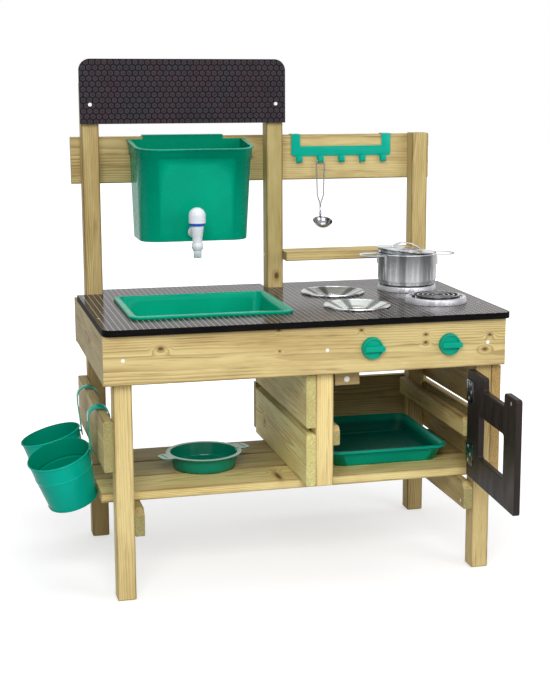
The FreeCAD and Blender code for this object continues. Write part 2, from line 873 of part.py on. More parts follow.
def hinge(z0):
    """The two leaves and the pin of one hinge, door closed."""
    third = hinge_height / 3
    z1 = z0 + hinge_height
    ring = knuckle_radius
    leg_x = leg_right
    edge_x = door_hinge_edge
    face_y = catch_front - clear
    keep = ring + knuckle_play
    leaf_y = pin_y + keep

    leg = block(leg_x - hinge_sheet, leg_x, leaf_y, pin_y + hinge_leg_leaf, z0, z1)
    leaf = block(edge_x, edge_x + hinge_sheet, leaf_y, face_y + hinge_sheet, z0, z1)
    plate = block(edge_x - hinge_leaf, edge_x + hinge_sheet, face_y, face_y + hinge_sheet, z0, z1)
    leaf = leaf.fuse(plate).removeSplitter()

    bore = Part.makeCylinder(hinge_pin_radius + screw_play, hinge_height + 2 * overrun,
                             Vec(pin_x, pin_y, z0 - overrun))
    for low, high, fixed in ((0, 1, True), (1, 2, False), (2, 3, True)):
        gap_low = knuckle_play / 2 if low else 0.0
        gap_high = knuckle_play / 2 if high < 3 else 0.0
        a, b = z0 + low * third + gap_low, z0 + high * third - gap_high
        ring_part = Part.makeCylinder(ring, b - a, Vec(pin_x, pin_y, a))
        if fixed:
            web = block(leg_x - hinge_sheet, leg_x, pin_y, leaf_y + overrun, a, b)
            leg = leg.fuse([ring_part, web])
        else:
            web = block(edge_x, edge_x + hinge_sheet, pin_y, leaf_y + overrun, a, b)
            bridge = block(edge_x, pin_x, pin_y, pin_y + hinge_sheet, a, b)
            leaf = leaf.fuse([ring_part, web, bridge])
    leg = leg.cut(bore).removeSplitter()
    leaf = leaf.cut(bore).removeSplitter()

    pin = Part.makeCylinder(hinge_pin_radius, hinge_height + clear, Vec(pin_x, pin_y, z0))
    cap = Part.makeCylinder(hinge_pin_head, hinge_pin_cap, Vec(pin_x, pin_y, z1 + clear))
    return leg, leaf, pin.fuse(cap).removeSplitter()


def hinges():
    legs, leaves, pins = [], [], []
    face_y = catch_front - clear + hinge_sheet
    for z0 in (hinge_lower, hinge_upper):
        leg, leaf, pin = hinge(z0)
        for lift, away in ((hinge_screw_margin, hinge_screw_near),
                           (hinge_height / 2, hinge_screw_far),
                           (hinge_height - hinge_screw_margin, hinge_screw_near)):
            point = (door_hinge_edge - away, face_y, z0 + lift)
            screw = screw_solid(point, (0, -1, 0), screw_short, 0.0)
            hole = screw_solid(point, (0, -1, 0), screw_short + screw_play, screw_play)
            screws["door_screws"].append(screw)
            leaf = leaf.cut(hole)
            parts["door"] = parts["door"].cut(hole)
        for lift in (hinge_screw_margin, hinge_height - hinge_screw_margin):
            point = (leg_right - hinge_sheet, pin_y + hinge_screw_near, z0 + lift)
            screw = screw_solid(point, (1, 0, 0), screw_short, 0.0)
            hole = screw_solid(point, (1, 0, 0), screw_short + screw_play, screw_play)
            screws["frame_screws"].append(screw)
            leg = leg.cut(hole)
            parts["front_right_leg"] = parts["front_right_leg"].cut(hole)
        legs.append(leg)
        leaves.append(leaf)
        pins.append(pin)
    drive((magnet_x, catch_front - clear, strike_z), (0, -1, 0), screw_short, ["door"], "door_screws")
    parts["hinge_leg_leaves"] = group(legs)
    parts["hinge_door_leaves"] = group(leaves)
    parts["hinge_pins"] = group(pins)


def open_door():
    """Swing the door and what rides on it to the angle in the photo."""
    for name in ("door", "hinge_door_leaves", "door_screws"):
        parts[name].rotate(Vec(pin_x, pin_y, 0), Vec(0, 0, 1), door_open)


# Tank and tap

def tank():
    back = frame_depth - tank_back_gap
    x = tank_x
    top_z = tank_rim_rear_z + tank_rim_thick

    def share(z):
        return (z - tank_base_z) / (tank_rim_front_z - tank_base_z)

    def outline(z, grow=0.0, back_in=0.0):
        part_way = share(z)
        reach = tank_base_half + (tank_top_half - tank_base_half) * part_way + grow
        front = tank_base_front + (tank_top_front - tank_base_front) * part_way - grow
        return round_rect(x - reach, x + reach, front, back - back_in, z, tank_corner + grow, ease)

    body = tub(outline(tank_base_z), outline(top_z))
    body = body.makeFillet(ease, [e for e in body.Edges if e.BoundBox.ZMax < tank_base_z + clear])
    band_z = tank_rim_front_z - tank_band
    band = tub(outline(band_z, tank_band_step), outline(top_z, tank_band_step))
    flare = tub(outline(tank_rim_front_z - tank_rim_thick - overrun, tank_rim_flare - ease),
                outline(top_z + overrun, tank_rim_flare))
    slab = slope_slab(tank_rim_thick)
    flare = flare.common(slab)
    cavity = tub(outline(tank_base_z + tank_floor, -tank_wall, tank_wall),
                 outline(top_z + overrun, -tank_wall, tank_wall))
    shape = body.fuse(band).cut(above_slope()).fuse(flare).cut(cavity)

    lip = tank_lip_thick
    gap = clear * 2
    hook_top = rail_top + gap + lip
    left, right = tank_lip_left, tank_lip_right
    riser = block(left, right, back - tank_wall, back, tank_rim_front_z, hook_top)
    crest = block(left, right, back - tank_wall, back_face + gap + lip, rail_top + gap, hook_top)
    drop = block(left, right, back_face + gap, back_face + gap + lip, hook_top - tank_lip_drop, hook_top)
    shape = shape.fuse([riser, crest, drop]).removeSplitter()
    hole = rod(tap_spigot + screw_play, (tap_x, tank_top_front - overrun, tap_spigot_z),
               (tap_x, tank_base_front + tap_hole_reach, tap_spigot_z))
    parts["tank"] = shape.cut(hole)


def rim_height(y):
    """Height of the tank's sloping rim at a distance y."""
    back = frame_depth - tank_back_gap
    return tank_rim_front_z + (tank_rim_rear_z - tank_rim_front_z) * (y - tank_top_front) / (
        back - tank_top_front)


def slope_slab(thick):
    y0, y1 = tank_top_front - tank_slope_reach, frame_depth
    low0, low1 = rim_height(y0) - thick, rim_height(y1) - thick
    points = [Vec(0, y0, low0), Vec(0, y1, low1), Vec(0, y1, low1 + thick), Vec(0, y0, low0 + thick),
              Vec(0, y0, low0)]
    return Part.Face(Part.makePolygon(points)).extrude(Vec(apron_length, 0, 0))


def above_slope():
    y0, y1 = tank_top_front - tank_slope_reach, frame_depth
    points = [Vec(0, y0, rim_height(y0)), Vec(0, y1, rim_height(y1)), Vec(0, y1, comb_top),
              Vec(0, y0, comb_top), Vec(0, y0, rim_height(y0))]
    return Part.Face(Part.makePolygon(points)).extrude(Vec(apron_length, 0, 0))


def tank_front(z):
    return tank_base_front + (tank_top_front - tank_base_front) * (z - tank_base_z) / (
        tank_rim_front_z - tank_base_z)


def tap():
    wall_y = tank_front(tap_spigot_z + tap_flange)
    inner_y = tank_front(tap_spigot_z - tap_nut) + tank_wall
    x, y, z = tap_x, tap_y, tap_spigot_z

    profile = [(0.0, 0.0), (tap_nozzle, 0.0), (tap_nozzle, tap_nozzle_height), (tap_step, tap_step_height),
               (tap_collar, tap_collar_low), (tap_collar, tap_collar_high), (tap_waist, tap_waist_low),
               (tap_waist, tap_waist_high), (tap_flare, tap_flare_height), (tap_shoulder, tap_shoulder_height),
               (tap_shoulder, tap_height), (0.0, tap_height)]
    body = turned([(r, tap_low + rise) for r, rise in profile], x, y)
    post_height = tap_cap_top - tap_body_top - tap_cap
    post = Part.makeCylinder(tap_spigot, post_height, Vec(x, y, tap_body_top - overrun))
    spigot = rod(tap_spigot, (x, y, z), (x, inner_y + tap_nut_thick + overrun, z))
    flange = rod(tap_flange, (x, wall_y - tap_flange_thick, z), (x, wall_y - clear, z))
    parts["tap_body"] = body.fuse([post, spigot, flange]).removeSplitter()

    ring_top = tap_body_top + tap_ring_height
    ring = Part.makeCylinder(tap_cap - overrun, tap_ring_height, Vec(x, y, tap_body_top))
    parts["tap_ring"] = ring.cut(Part.makeCylinder(tap_spigot + screw_play, tap_ring_height + 2 * overrun,
                                                   Vec(x, y, tap_body_top - overrun)))

    cap_low = ring_top + clear
    barrel = Part.makeCylinder(tap_cap, tap_cap_top - tap_cap - cap_low, Vec(x, y, cap_low))
    dome = Part.makeSphere(tap_cap, Vec(x, y, tap_cap_top - tap_cap))
    dome = dome.common(block(x - tap_cap, x + tap_cap, y - tap_cap, y + tap_cap,
                             tap_cap_top - tap_cap, tap_cap_top))
    bore = Part.makeCylinder(tap_spigot + run_play, tap_cap_top - tap_body_top - tap_cap,
                             Vec(x, y, tap_body_top))
    parts["tap_cap"] = barrel.fuse(dome).removeSplitter().cut(bore)

    points = [Vec(x + tap_nut * math.cos(2 * math.pi * k / tap_nut_flats), inner_y + clear,
                  z + tap_nut * math.sin(2 * math.pi * k / tap_nut_flats))
              for k in range(tap_nut_flats + 1)]
    nut = Part.Face(Part.makePolygon(points)).extrude(Vec(0, tap_nut_thick, 0))
    parts["tap_nut"] = nut.cut(rod(tap_spigot + screw_play, (x, inner_y - overrun, z),
                                   (x, inner_y + tap_nut_thick + 2 * overrun, z)))


# Hook strip and ladle

def hook_strip():
    back = strip_face + strip_sheet
    gap = clear * 2
    lip_top = rail_top + gap + strip_sheet
    plate = block(strip_left, strip_right, strip_face, back, strip_bottom, strip_top)
    plate = plate.makeFillet(strip_corner, edges_along(plate, 1, lambda p: p.z < strip_top - strip_corner))
    solids = [plate]
    for x0 in (strip_left, strip_right - strip_arm):
        x1 = x0 + strip_arm
        solids.append(block(x0, x1, strip_face, back, strip_bottom + strip_corner, lip_top))
        solids.append(block(x0, x1, strip_face, back_face + gap + strip_sheet, rail_top + gap, lip_top))
        solids.append(block(x0, x1, back_face + gap, back_face + gap + strip_sheet,
                            lip_top - strip_lip, lip_top))
    middle = strip_face + strip_sheet / 2
    for k in range(hook_count):
        x = hook_first + k * hook_pitch
        solids.append(bent_hook(x, middle))
    parts["hook_strip"] = solids[0].fuse(solids[1:]).removeSplitter()


def bent_hook(x, y):
    """One hook: down from the strip, round forwards and up."""
    low = strip_bottom - hook_drop
    inner, outer = hook_bend - strip_sheet, hook_bend
    x0, x1 = x - hook_width / 2, x + hook_width / 2
    y_back = y + strip_sheet / 2
    centre_y = y_back - outer
    drop = block(x0, x1, y_back - strip_sheet, y_back, low, strip_bottom + overrun)
    ring = Part.makeCylinder(outer, hook_width, Vec(x0, centre_y, low), Vec(1, 0, 0)).cut(
        Part.makeCylinder(inner, hook_width, Vec(x0, centre_y, low), Vec(1, 0, 0)))
    ring = ring.common(block(x0, x1, centre_y - outer, centre_y + outer, low - outer, low))
    rise = block(x0, x1, centre_y - outer, centre_y - inner, low, low + hook_rise)
    return drop.fuse([ring, rise])


def hook_seat():
    """Middle of the wire that hangs in a hook."""
    low = strip_bottom - hook_drop
    centre_y = strip_face + strip_sheet - hook_bend
    return centre_y, low - hook_bend + strip_sheet + ladle_wire + clear


def ladle():
    x = hook_first + ladle_hook * hook_pitch
    y, top = hook_seat()
    right = [(ladle_flat_half, top), (ladle_wire_half, top - ladle_shoulder),
             (ladle_bend_half, top - ladle_bend_drop), (ladle_wire, top - ladle_join_drop)]
    rim_z = top - ladle_rim_drop
    solids = []
    for side in (-1, 1):
        points = [Vec(x + side * reach, y, z) for reach, z in right]
        for start, end in zip(points, points[1:]):
            solids += [rod(ladle_wire, start, end), Part.makeSphere(ladle_wire, start)]
    solids.append(rod(ladle_wire, (x - ladle_flat_half, y, top), (x + ladle_flat_half, y, top)))
    solids.append(rod(ladle_neck, (x, y, rim_z - ladle_neck), (x, y, top - ladle_join_drop + ladle_neck)))
    solids.append(Part.makeSphere(ladle_collar, Vec(x, y, rim_z + ladle_collar * 2)))

    # The cup is part of a hollow ball, hung by the back of its rim and tipped forwards
    ball = ladle_ball
    plane = ladle_depth - ball
    rim = math.sqrt(ball * ball - plane * plane)
    cup = Part.makeSphere(ball, Vec(0, 0, 0)).cut(Part.makeSphere(ball - ladle_cup_wall, Vec(0, 0, 0)))
    cup = cup.common(block(-ball, ball, -ball, ball, -ball, plane))
    cup.translate(Vec(0, ladle_cup_wall - rim, -plane))
    cup.rotate(Vec(0, 0, 0), Vec(1, 0, 0), ladle_tip)
    cup.translate(Vec(x, y, rim_z))
    parts["ladle"] = solids[0].fuse(solids[1:] + [cup]).removeSplitter()


# Buckets

def bucket_and_strap(hang_y, lean):
    """A bucket that leans out from its strap hook over the bucket rail."""
    top_r = bucket_rim - bucket_roll
    h = bucket_height
    slope = (top_r - bucket_base) / h
    rib_z = -bucket_rib_drop

    def radius(z):
        return top_r + slope * z

    def shell(grow):
        points = [(0.0, -h - grow), (radius(-h) + grow, -h - grow)]
        for dz, out in ((-bucket_rib * 2, 0.0), (0.0, bucket_rib), (bucket_rib * 2, 0.0)):
            points.append((radius(rib_z + dz) + out + grow, rib_z + dz))
        points += [(radius(0.0) + grow, 0.0), (0.0, 0.0)]
        return turned(points)

    outer = shell(0.0)
    inner = shell(-bucket_wall)
    inner_top = Part.makeCylinder(radius(0.0) - bucket_wall, overrun, Vec(0, 0, 0))
    roll = Part.makeTorus(top_r - bucket_wall / 2, bucket_roll, Vec(0, 0, 0))
    bucket = outer.fuse(roll).cut(inner.fuse(inner_top)).removeSplitter()
    bucket.rotate(Vec(0, 0, 0), Vec(0, 1, 0), -bucket_tilt)
    tilt = math.radians(bucket_tilt)
    bucket.translate(Vec(-bucket_off - bucket_rim * math.cos(tilt), 0,
                         bucket_rim_z - bucket_rim * math.sin(tilt)))

    strap = strap_hook()
    wall_x = -bucket_off + bucket_roll
    inside = wall_x - rivet_reach
    shank = rod(rivet_radius, (inside, 0, rivet_z), (strap_x(rivet_z), 0, rivet_z))
    head = rod(rivet_head, (inside, 0, rivet_z), (inside + rivet_cap, 0, rivet_z))
    collar = rod(rivet_head, (wall_x + rivet_cap / 2, 0, rivet_z), (strap_x(rivet_z), 0, rivet_z))
    hole = rod(rivet_radius + screw_play, (inside, 0, rivet_z), (strap_x(rivet_z), 0, rivet_z))
    strap = strap.fuse([shank, head, collar]).removeSplitter()
    bucket = bucket.cut(hole)

    # A strap that leans rests on one of its edges, so its middle is higher
    lift = strap_width / 2 * math.sin(math.radians(lean))
    for shape in (bucket, strap):
        shape.rotate(Vec(0, 0, bucket_rail_top), Vec(1, 0, 0), lean)
        shape.translate(Vec(0, hang_y, lift))
    return bucket, strap


def strap_x(z):
    """Middle of the strap's outer leg at a height z."""
    top_x = strap_arch_x - strap_arch - strap_sheet / 2
    top_z = arch_z() - strap_outer_leg
    return top_x + (-strap_foot_x - top_x) * (top_z - z) / (top_z - strap_foot_z)


def arch_z():
    """Height of the arch's centre, so that the strap just sits on the rail's inner edge."""
    side = board - ease - strap_arch_x
    reach = strap_arch - clear - ease
    return bucket_rail_top - ease - math.sqrt(reach * reach - side * side)


def strap_hook():
    z = arch_z()
    outer = strap_arch + strap_sheet
    x = strap_arch_x
    y0 = -strap_width / 2
    ring = Part.makeCylinder(outer, strap_width, Vec(x, y0, z), Vec(0, 1, 0)).cut(
        Part.makeCylinder(strap_arch, strap_width, Vec(x, y0, z), Vec(0, 1, 0)))
    arch = ring.common(block(x - outer, x + outer, y0, -y0, z, z + outer))
    inner_leg = block(x + strap_arch, x + outer, y0, -y0, z - strap_inner_leg, z)
    low = z - strap_outer_leg
    outer_leg = block(x - outer, x - strap_arch, y0, -y0, low, z)
    s = strap_sheet / 2
    foot_x = -strap_foot_x
    top_x = x - strap_arch - s
    points = [Vec(top_x - s, y0, low), Vec(top_x + s, y0, low), Vec(foot_x + s, y0, strap_foot_z),
              Vec(foot_x - s, y0, strap_foot_z), Vec(top_x - s, y0, low)]
    slant = Part.Face(Part.makePolygon(points)).extrude(Vec(0, strap_width, 0))
    return arch.fuse([inner_leg, outer_leg, slant]).removeSplitter()


def buckets():
    for side, hang, lean in (("front", bucket_front_hang, bucket_front_lean),
                             ("rear", bucket_rear_hang, bucket_rear_lean)):
        bucket, strap = bucket_and_strap(hang, lean)
        parts[side + "_bucket"] = bucket
        parts[side + "_bucket_hook"] = strap


# Pot, lid, pan and tray

def pot():
    low, top = pot_low, pot_top
    r, w = pot_radius, pot_wall
    outer = turned([(0.0, low), (pot_foot, low), (pot_foot, low + pot_foot_height),
                    (r - pot_curve_in, low + pot_foot_height + pot_curve_low),
                    (r, low + pot_foot_height + pot_curve_high), (r, top - pot_roll), (0.0, top - pot_roll)],
                   pot_x, pot_y)
    inner = turned([(0.0, low + pot_foot_height + w), (r - w - pot_curve_low, low + pot_foot_height + w),
                    (r - w, low + pot_foot_height + pot_curve_high), (r - w, top + overrun),
                    (0.0, top + overrun)], pot_x, pot_y)
    roll = Part.makeTorus(r - w / 2, pot_roll, Vec(pot_x, pot_y, top - pot_roll))
    solids = [roll]
    for side in (1, -1):
        solids += wire_handle(side)
    parts["pot"] = outer.fuse(solids).cut(inner).removeSplitter()


def wire_handle(side):
    """A wire loop that stands out from the pot, with its two legs welded down the wall."""
    near = math.sqrt(pot_radius ** 2 - handle_half ** 2) + handle_wire * half
    end_r = handle_end
    z = handle_z
    pieces = []
    straight_end = handle_reach - handle_wire - end_r
    for way in (-1, 1):
        y = way * handle_half
        pieces.append(rod(handle_wire, (near, y, z - handle_leg), (near, y, z)))
        pieces.append(Part.makeSphere(handle_wire, Vec(near, y, z)))
        pieces.append(rod(handle_wire, (near, y, z), (straight_end, y, z)))
        turn = end_r * math.sqrt(half)
        inset = y - way * end_r
        arc = Part.Arc(Vec(straight_end, y, z), Vec(straight_end + turn, inset + way * turn, z),
                       Vec(straight_end + end_r, inset, z)).toShape()
        circle = Part.Wire([Part.makeCircle(handle_wire, Vec(straight_end, y, z), Vec(1, 0, 0))])
        pieces.append(Part.Wire([arc]).makePipeShell([circle], True, True))
    rest = handle_half - end_r
    pieces.append(rod(handle_wire, (straight_end + end_r, -rest, z), (straight_end + end_r, rest, z)))
    for piece in pieces:
        if side < 0:
            piece.rotate(Vec(0, 0, 0), Vec(0, 0, 1), 2 * quarter_turn)
        piece.translate(Vec(pot_x, pot_y, 0))
    return pieces


def pot_lid():
    s = lid_sheet
    dome = turned([(0.0, 0.0), (lid_radius, 0.0), (lid_radius, s), (lid_skirt, lid_edge),
                   (lid_skirt / 2, lid_dome), (0.0, lid_dome + s)])
    hollow = turned([(0.0, -lid_skirt_depth - overrun), (lid_skirt - s, -lid_skirt_depth - overrun),
                     (lid_skirt - s, 0.0), (lid_skirt / 2, lid_dome - lid_edge), (0.0, lid_dome - s)])
    skirt = Part.makeCylinder(lid_skirt, lid_skirt_depth, Vec(0, 0, -lid_skirt_depth))
    span, rise = lid_strap_span, lid_strap_rise
    foot_z = lid_dome - lid_edge
    y0 = -lid_strap / 2
    arch_out = Part.Arc(Vec(-span, y0, foot_z), Vec(0, y0, foot_z + rise), Vec(span, y0, foot_z)).toShape()
    t = lid_strap_sheet
    arch_in = Part.Arc(Vec(-span + t, y0, foot_z), Vec(0, y0, foot_z + rise - t),
                       Vec(span - t, y0, foot_z)).toShape()
    ring = Part.Face(Part.Wire([arch_out, Part.makeLine(Vec(span, y0, foot_z), Vec(span - t, y0, foot_z)),
                                arch_in, Part.makeLine(Vec(-span + t, y0, foot_z),
                                                       Vec(-span, y0, foot_z))]))
    strap = ring.extrude(Vec(0, lid_strap, 0))
    shape = dome.fuse(skirt).cut(hollow).fuse(strap).removeSplitter()
    shape.rotate(Vec(lid_radius, 0, 0), Vec(0, 1, 0), lid_tilt)
    drop = (lid_radius - lid_shift) * math.sin(math.radians(lid_tilt)) / 2
    shape.translate(Vec(pot_x - lid_shift, pot_y, pot_top + lid_lift - drop))
    parts["pot_lid"] = shape


def pan():
    low, top = shelf_top + clear, shelf_top + clear + pan_height
    w = pan_wall
    outer = turned([(0.0, low), (pan_base, low), (pan_rim - pan_flange, top), (0.0, top)])
    inner = turned([(0.0, low + w), (pan_base - w, low + w), (pan_rim - pan_flange - w, top + clear),
                    (0.0, top + clear)])
    flange = Part.makeCylinder(pan_rim, pan_lug_thick, Vec(0, 0, top - pan_lug_thick))
    lugs = block(-pan_lug_tip, pan_lug_tip, -pan_lug_half, pan_lug_half, top - pan_lug_thick, top)
    lugs = lugs.makeFillet(pan_lug_ease, edges_along(lugs, 2))
    shape = outer.fuse([flange, lugs]).cut(inner).removeSplitter()
    for side in (-1, 1):
        for k in (-1, 0, 1):
            x = side * (pan_rim + pan_lug_tip) / 2
            y = k * pan_lug_hole_pitch
            shape = shape.cut(rod(pan_lug_hole, (x, y, low), (x, y, top + overrun)))
    shape.rotate(Vec(0, 0, 0), Vec(0, 0, 1), pan_turn)
    shape.translate(Vec(pan_x, pan_y, 0))
    parts["pan"] = shape


def tray():
    low, top = shelf_top + clear, shelf_top + clear + tray_height
    x0, x1, y0, y1 = tray_left + tray_lip, tray_right - tray_lip, tray_front + tray_lip, tray_rear - tray_lip
    f, c, w = tray_flare - tray_lip, tray_corner, tray_wall
    outer = tub(round_rect(x0 + f, x1 - f, y0 + f, y1 - f, low, c), round_rect(x0, x1, y0, y1, top, c))
    inner = tub(round_rect(x0 + f + w, x1 - f - w, y0 + f + w, y1 - f - w, low + w, c - w),
                round_rect(x0 + w, x1 - w, y0 + w, y1 - w, top + clear, c - w))
    lip = prism(round_rect(tray_left, tray_right, tray_front, tray_rear, top - tray_lip_height,
                           c + tray_lip), tray_lip_height)
    crown = [e for e in lip.Edges if e.BoundBox.ZMin > top - clear]
    lip = lip.makeFillet(overrun, crown)
    under = prism(round_rect(tray_left + w, tray_right - w, tray_front + w, tray_rear - w,
                             top - tray_lip_height - overrun, c + tray_lip - w),
                  tray_lip_height + overrun - w)
    parts["tray"] = lip.cut(under).fuse(outer).cut(inner).removeSplitter()


# Screws of the frame

def frame_fastening():
    inner_leg = leg_left + stock
    apron_levels = (apron_bottom + apron_screw_inset, deck - apron_screw_inset)
    front_posts = (("front_left_leg", leg_mid), ("front_middle_post", middle_mid), ("front_right_leg", right_mid))
    rear_posts = (("rear_left_post", leg_mid), ("rear_middle_post", middle_mid), ("rear_right_post", right_mid))
    corner_y = (("front", leg_mid), ("rear", post_mid))

    for post, x in front_posts:
        drive((x, 0.0, knob_z), (0, 1, 0), screw_long, ["front_apron", post])
    rail_levels = (rail_bottom + rail_screw_inset, rail_top - rail_screw_inset)
    for post, x in rear_posts:
        for z in apron_levels:
            drive((x, back_face, z), (0, -1, 0), screw_long, ["rear_apron", post])
        for z in rail_levels:
            drive((x, back_face, z), (0, -1, 0), screw_long, ["upper_rail", post])
    bucket_levels = (bucket_rail_bottom + bucket_screw_inset, bucket_rail_top - bucket_screw_inset)
    bearer_z = shelf_bottom - bearer_height + bearer_screw_rise
    for end, y in corner_y:
        left_post = "front_left_leg" if end == "front" else "rear_left_post"
        right_post = "front_right_leg" if end == "front" else "rear_right_post"
        for z in apron_levels:
            drive((inner_leg, y, z), (-1, 0, 0), stock + board / 2, [left_post, "left_side_apron"])
            drive((apron_length, y, z), (-1, 0, 0), screw_long, [right_post, "right_side_apron"])
        for z in bucket_levels:
            drive((inner_leg, y, z), (-1, 0, 0), stock + board / 2, [left_post, "bucket_rail"])
        drive((inner_leg + board, y, bearer_z), (-1, 0, 0), screw_long, ["left_shelf_bearer", left_post])
        drive((leg_right - board, y, bearer_z), (1, 0, 0), screw_long, ["right_shelf_bearer", right_post])


def board_fastening():
    bearer_mids = (("left_shelf_bearer", leg_left + stock + board / 2),
                   ("right_shelf_bearer", leg_right - board / 2))
    y = shelf_front + shelf_board_width / 2
    for name in ("front_shelf_board", "middle_shelf_board", "rear_shelf_board"):
        for bearer, x in bearer_mids:
            drive((x, y, shelf_top), (0, 0, -1), screw_middle, [name, bearer])
        y += shelf_board_width + shelf_board_gap

    upper = shelf_top + side_board_height + side_board_gap
    for level, z0 in (("lower", shelf_top), ("upper", upper)):
        for z in (z0 + side_screw_low, z0 + side_board_height - side_screw_high):
            drive((middle_left - board, leg_mid, z), (1, 0, 0), screw_long,
                  ["partition_" + level + "_board", "front_middle_post"])
            drive((middle_left - board, post_mid, z), (1, 0, 0), screw_long,
                  ["partition_" + level + "_board", "rear_middle_post"])
            drive((apron_length, leg_mid, z), (-1, 0, 0), screw_long,
                  ["right_side_" + level + "_board", "front_right_leg"])
            drive((apron_length, post_mid, z), (-1, 0, 0), screw_long,
                  ["right_side_" + level + "_board", "rear_right_post"])
    for lift in (back_screw_low, side_board_height - back_screw_high):
        z = shelf_top + oven_back_lift + lift
        for post, x in (("rear_middle_post", middle_mid), ("rear_right_post", right_mid)):
            drive((x, back_face, z), (0, -1, 0), screw_long, ["oven_rear_board", post])

    runner_mid = runner_bottom + runner_screw_rise
    for y, left_post, right_post in ((leg_mid + runner_screw_inset, "front_middle_post", "front_right_leg"),
                                     (post_front + runner_screw_inset, "rear_middle_post", "rear_right_post")):
        drive((middle_right + runner_width, y, runner_mid), (-1, 0, 0), screw_middle,
              ["left_tray_runner", left_post])
        drive((leg_right - runner_width, y, runner_mid), (1, 0, 0), screw_middle,
              ["right_tray_runner", right_post])
    for x in (catch_left + catch_screw_inset, catch_right - catch_screw_inset):
        drive((x, catch_rear, deck - catch_screw_drop), (0, -1, 0), screw_long, ["catch_block", "front_apron"])


def panel_fastening():
    for x in (board / 2, apron_length - board / 2):
        for y in (leg_front + top_screw_front, post_front - top_screw_rear):
            name = "left_side_apron" if x < board else "right_side_apron"
            drive((x, y, top_face), (0, 0, -1), screw_middle, ["worktop", name])
    for post, x in (("rear_left_post", leg_mid), ("rear_middle_post", middle_mid)):
        drive((x, post_front - comb_thick, comb_screw_z), (0, 1, 0), screw_middle, ["honeycomb_board", post])
    y = post_front + mini_screw_inset
    z = mini_bottom + board / 2
    drive((middle_left, y, z), (1, 0, 0), stock + board, ["rear_middle_post", "mini_shelf"])
    drive((leg_right + stock, y, z), (-1, 0, 0), stock + board, ["rear_right_post", "mini_shelf"])


def move_to_origin():
    """Put the middle of the part's outline over the origin."""
    tilt = math.radians(bucket_tilt)
    left = -bucket_off - 2 * bucket_rim * math.cos(tilt)
    swing = math.radians(door_open)
    front = pin_y - (pin_x - door_hinge_edge + door_length) * math.sin(swing)
    shift = Vec(-(left + top_right) / 2, -(front + top_rear) / 2, 0)
    for shape in parts.values():
        shape.translate(shift)
    return shift


frame()
shelf()
side_boards()
catch()
honeycomb_board()
mini_shelf()
worktop()
sink()
parts["front_bowl"] = bowl(bowl_front_y)
parts["rear_bowl"] = bowl(bowl_rear_y)
hotplates()
knobs()
door()
hinges()
tank()
tap()
hook_strip()
ladle()
buckets()
pot()
pot_lid()
pan()
tray()
frame_fastening()
board_fastening()
panel_fastening()
for node, solids in screws.items():
    parts[node] = group(solids)
open_door()
shift = move_to_origin()

os.makedirs("parts", exist_ok=True)
for name, shape in parts.items():
    shape.exportStep("parts/" + name + ".step")
print("moved by", shift, "pieces", len(parts))
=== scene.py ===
import json
import math

import bpy
from mathutils import Matrix, Vector


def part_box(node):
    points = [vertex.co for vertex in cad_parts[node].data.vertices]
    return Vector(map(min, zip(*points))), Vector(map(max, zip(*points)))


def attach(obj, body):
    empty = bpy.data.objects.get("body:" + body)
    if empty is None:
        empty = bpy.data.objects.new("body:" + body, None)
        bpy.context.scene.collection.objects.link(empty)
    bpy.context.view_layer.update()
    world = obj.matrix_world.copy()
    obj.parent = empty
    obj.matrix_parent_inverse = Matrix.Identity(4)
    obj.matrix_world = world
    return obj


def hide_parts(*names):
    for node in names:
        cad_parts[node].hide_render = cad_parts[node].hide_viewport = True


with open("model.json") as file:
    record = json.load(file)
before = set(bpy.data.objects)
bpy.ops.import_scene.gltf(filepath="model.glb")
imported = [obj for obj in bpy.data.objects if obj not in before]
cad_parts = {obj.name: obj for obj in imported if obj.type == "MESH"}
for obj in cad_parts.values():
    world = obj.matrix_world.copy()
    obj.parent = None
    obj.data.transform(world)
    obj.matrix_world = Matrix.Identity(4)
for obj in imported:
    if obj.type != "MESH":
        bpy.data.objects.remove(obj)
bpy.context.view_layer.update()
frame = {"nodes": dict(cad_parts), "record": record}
nodes = frame["nodes"]
body_of = {node: body for body, members in frame["record"]["behaviour"]["bodies"].items() for node in members}

MM = 0.001


def eye(red, green, blue):
    """A colour as the eye reads it, from 0 to 255, on the shader's own scale."""
    def linear(v):
        v = min(max(v, 0), 255) / 255
        return v / 12.92 if v <= 0.04045 else ((v + 0.055) / 1.055) ** 2.4
    return (linear(red), linear(green), linear(blue), 1)


def shaded(colour, share):
    """A colour made darker or lighter by a share."""
    return eye(*[v * share for v in colour])


def centre_of(node):
    """The middle of a node's box."""
    low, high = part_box(node)
    return (low + high) / 2


# Places of the colour sockets on a Mix node.
MIX_BELOW, MIX_ABOVE, MIX_OUT = 6, 7, 2


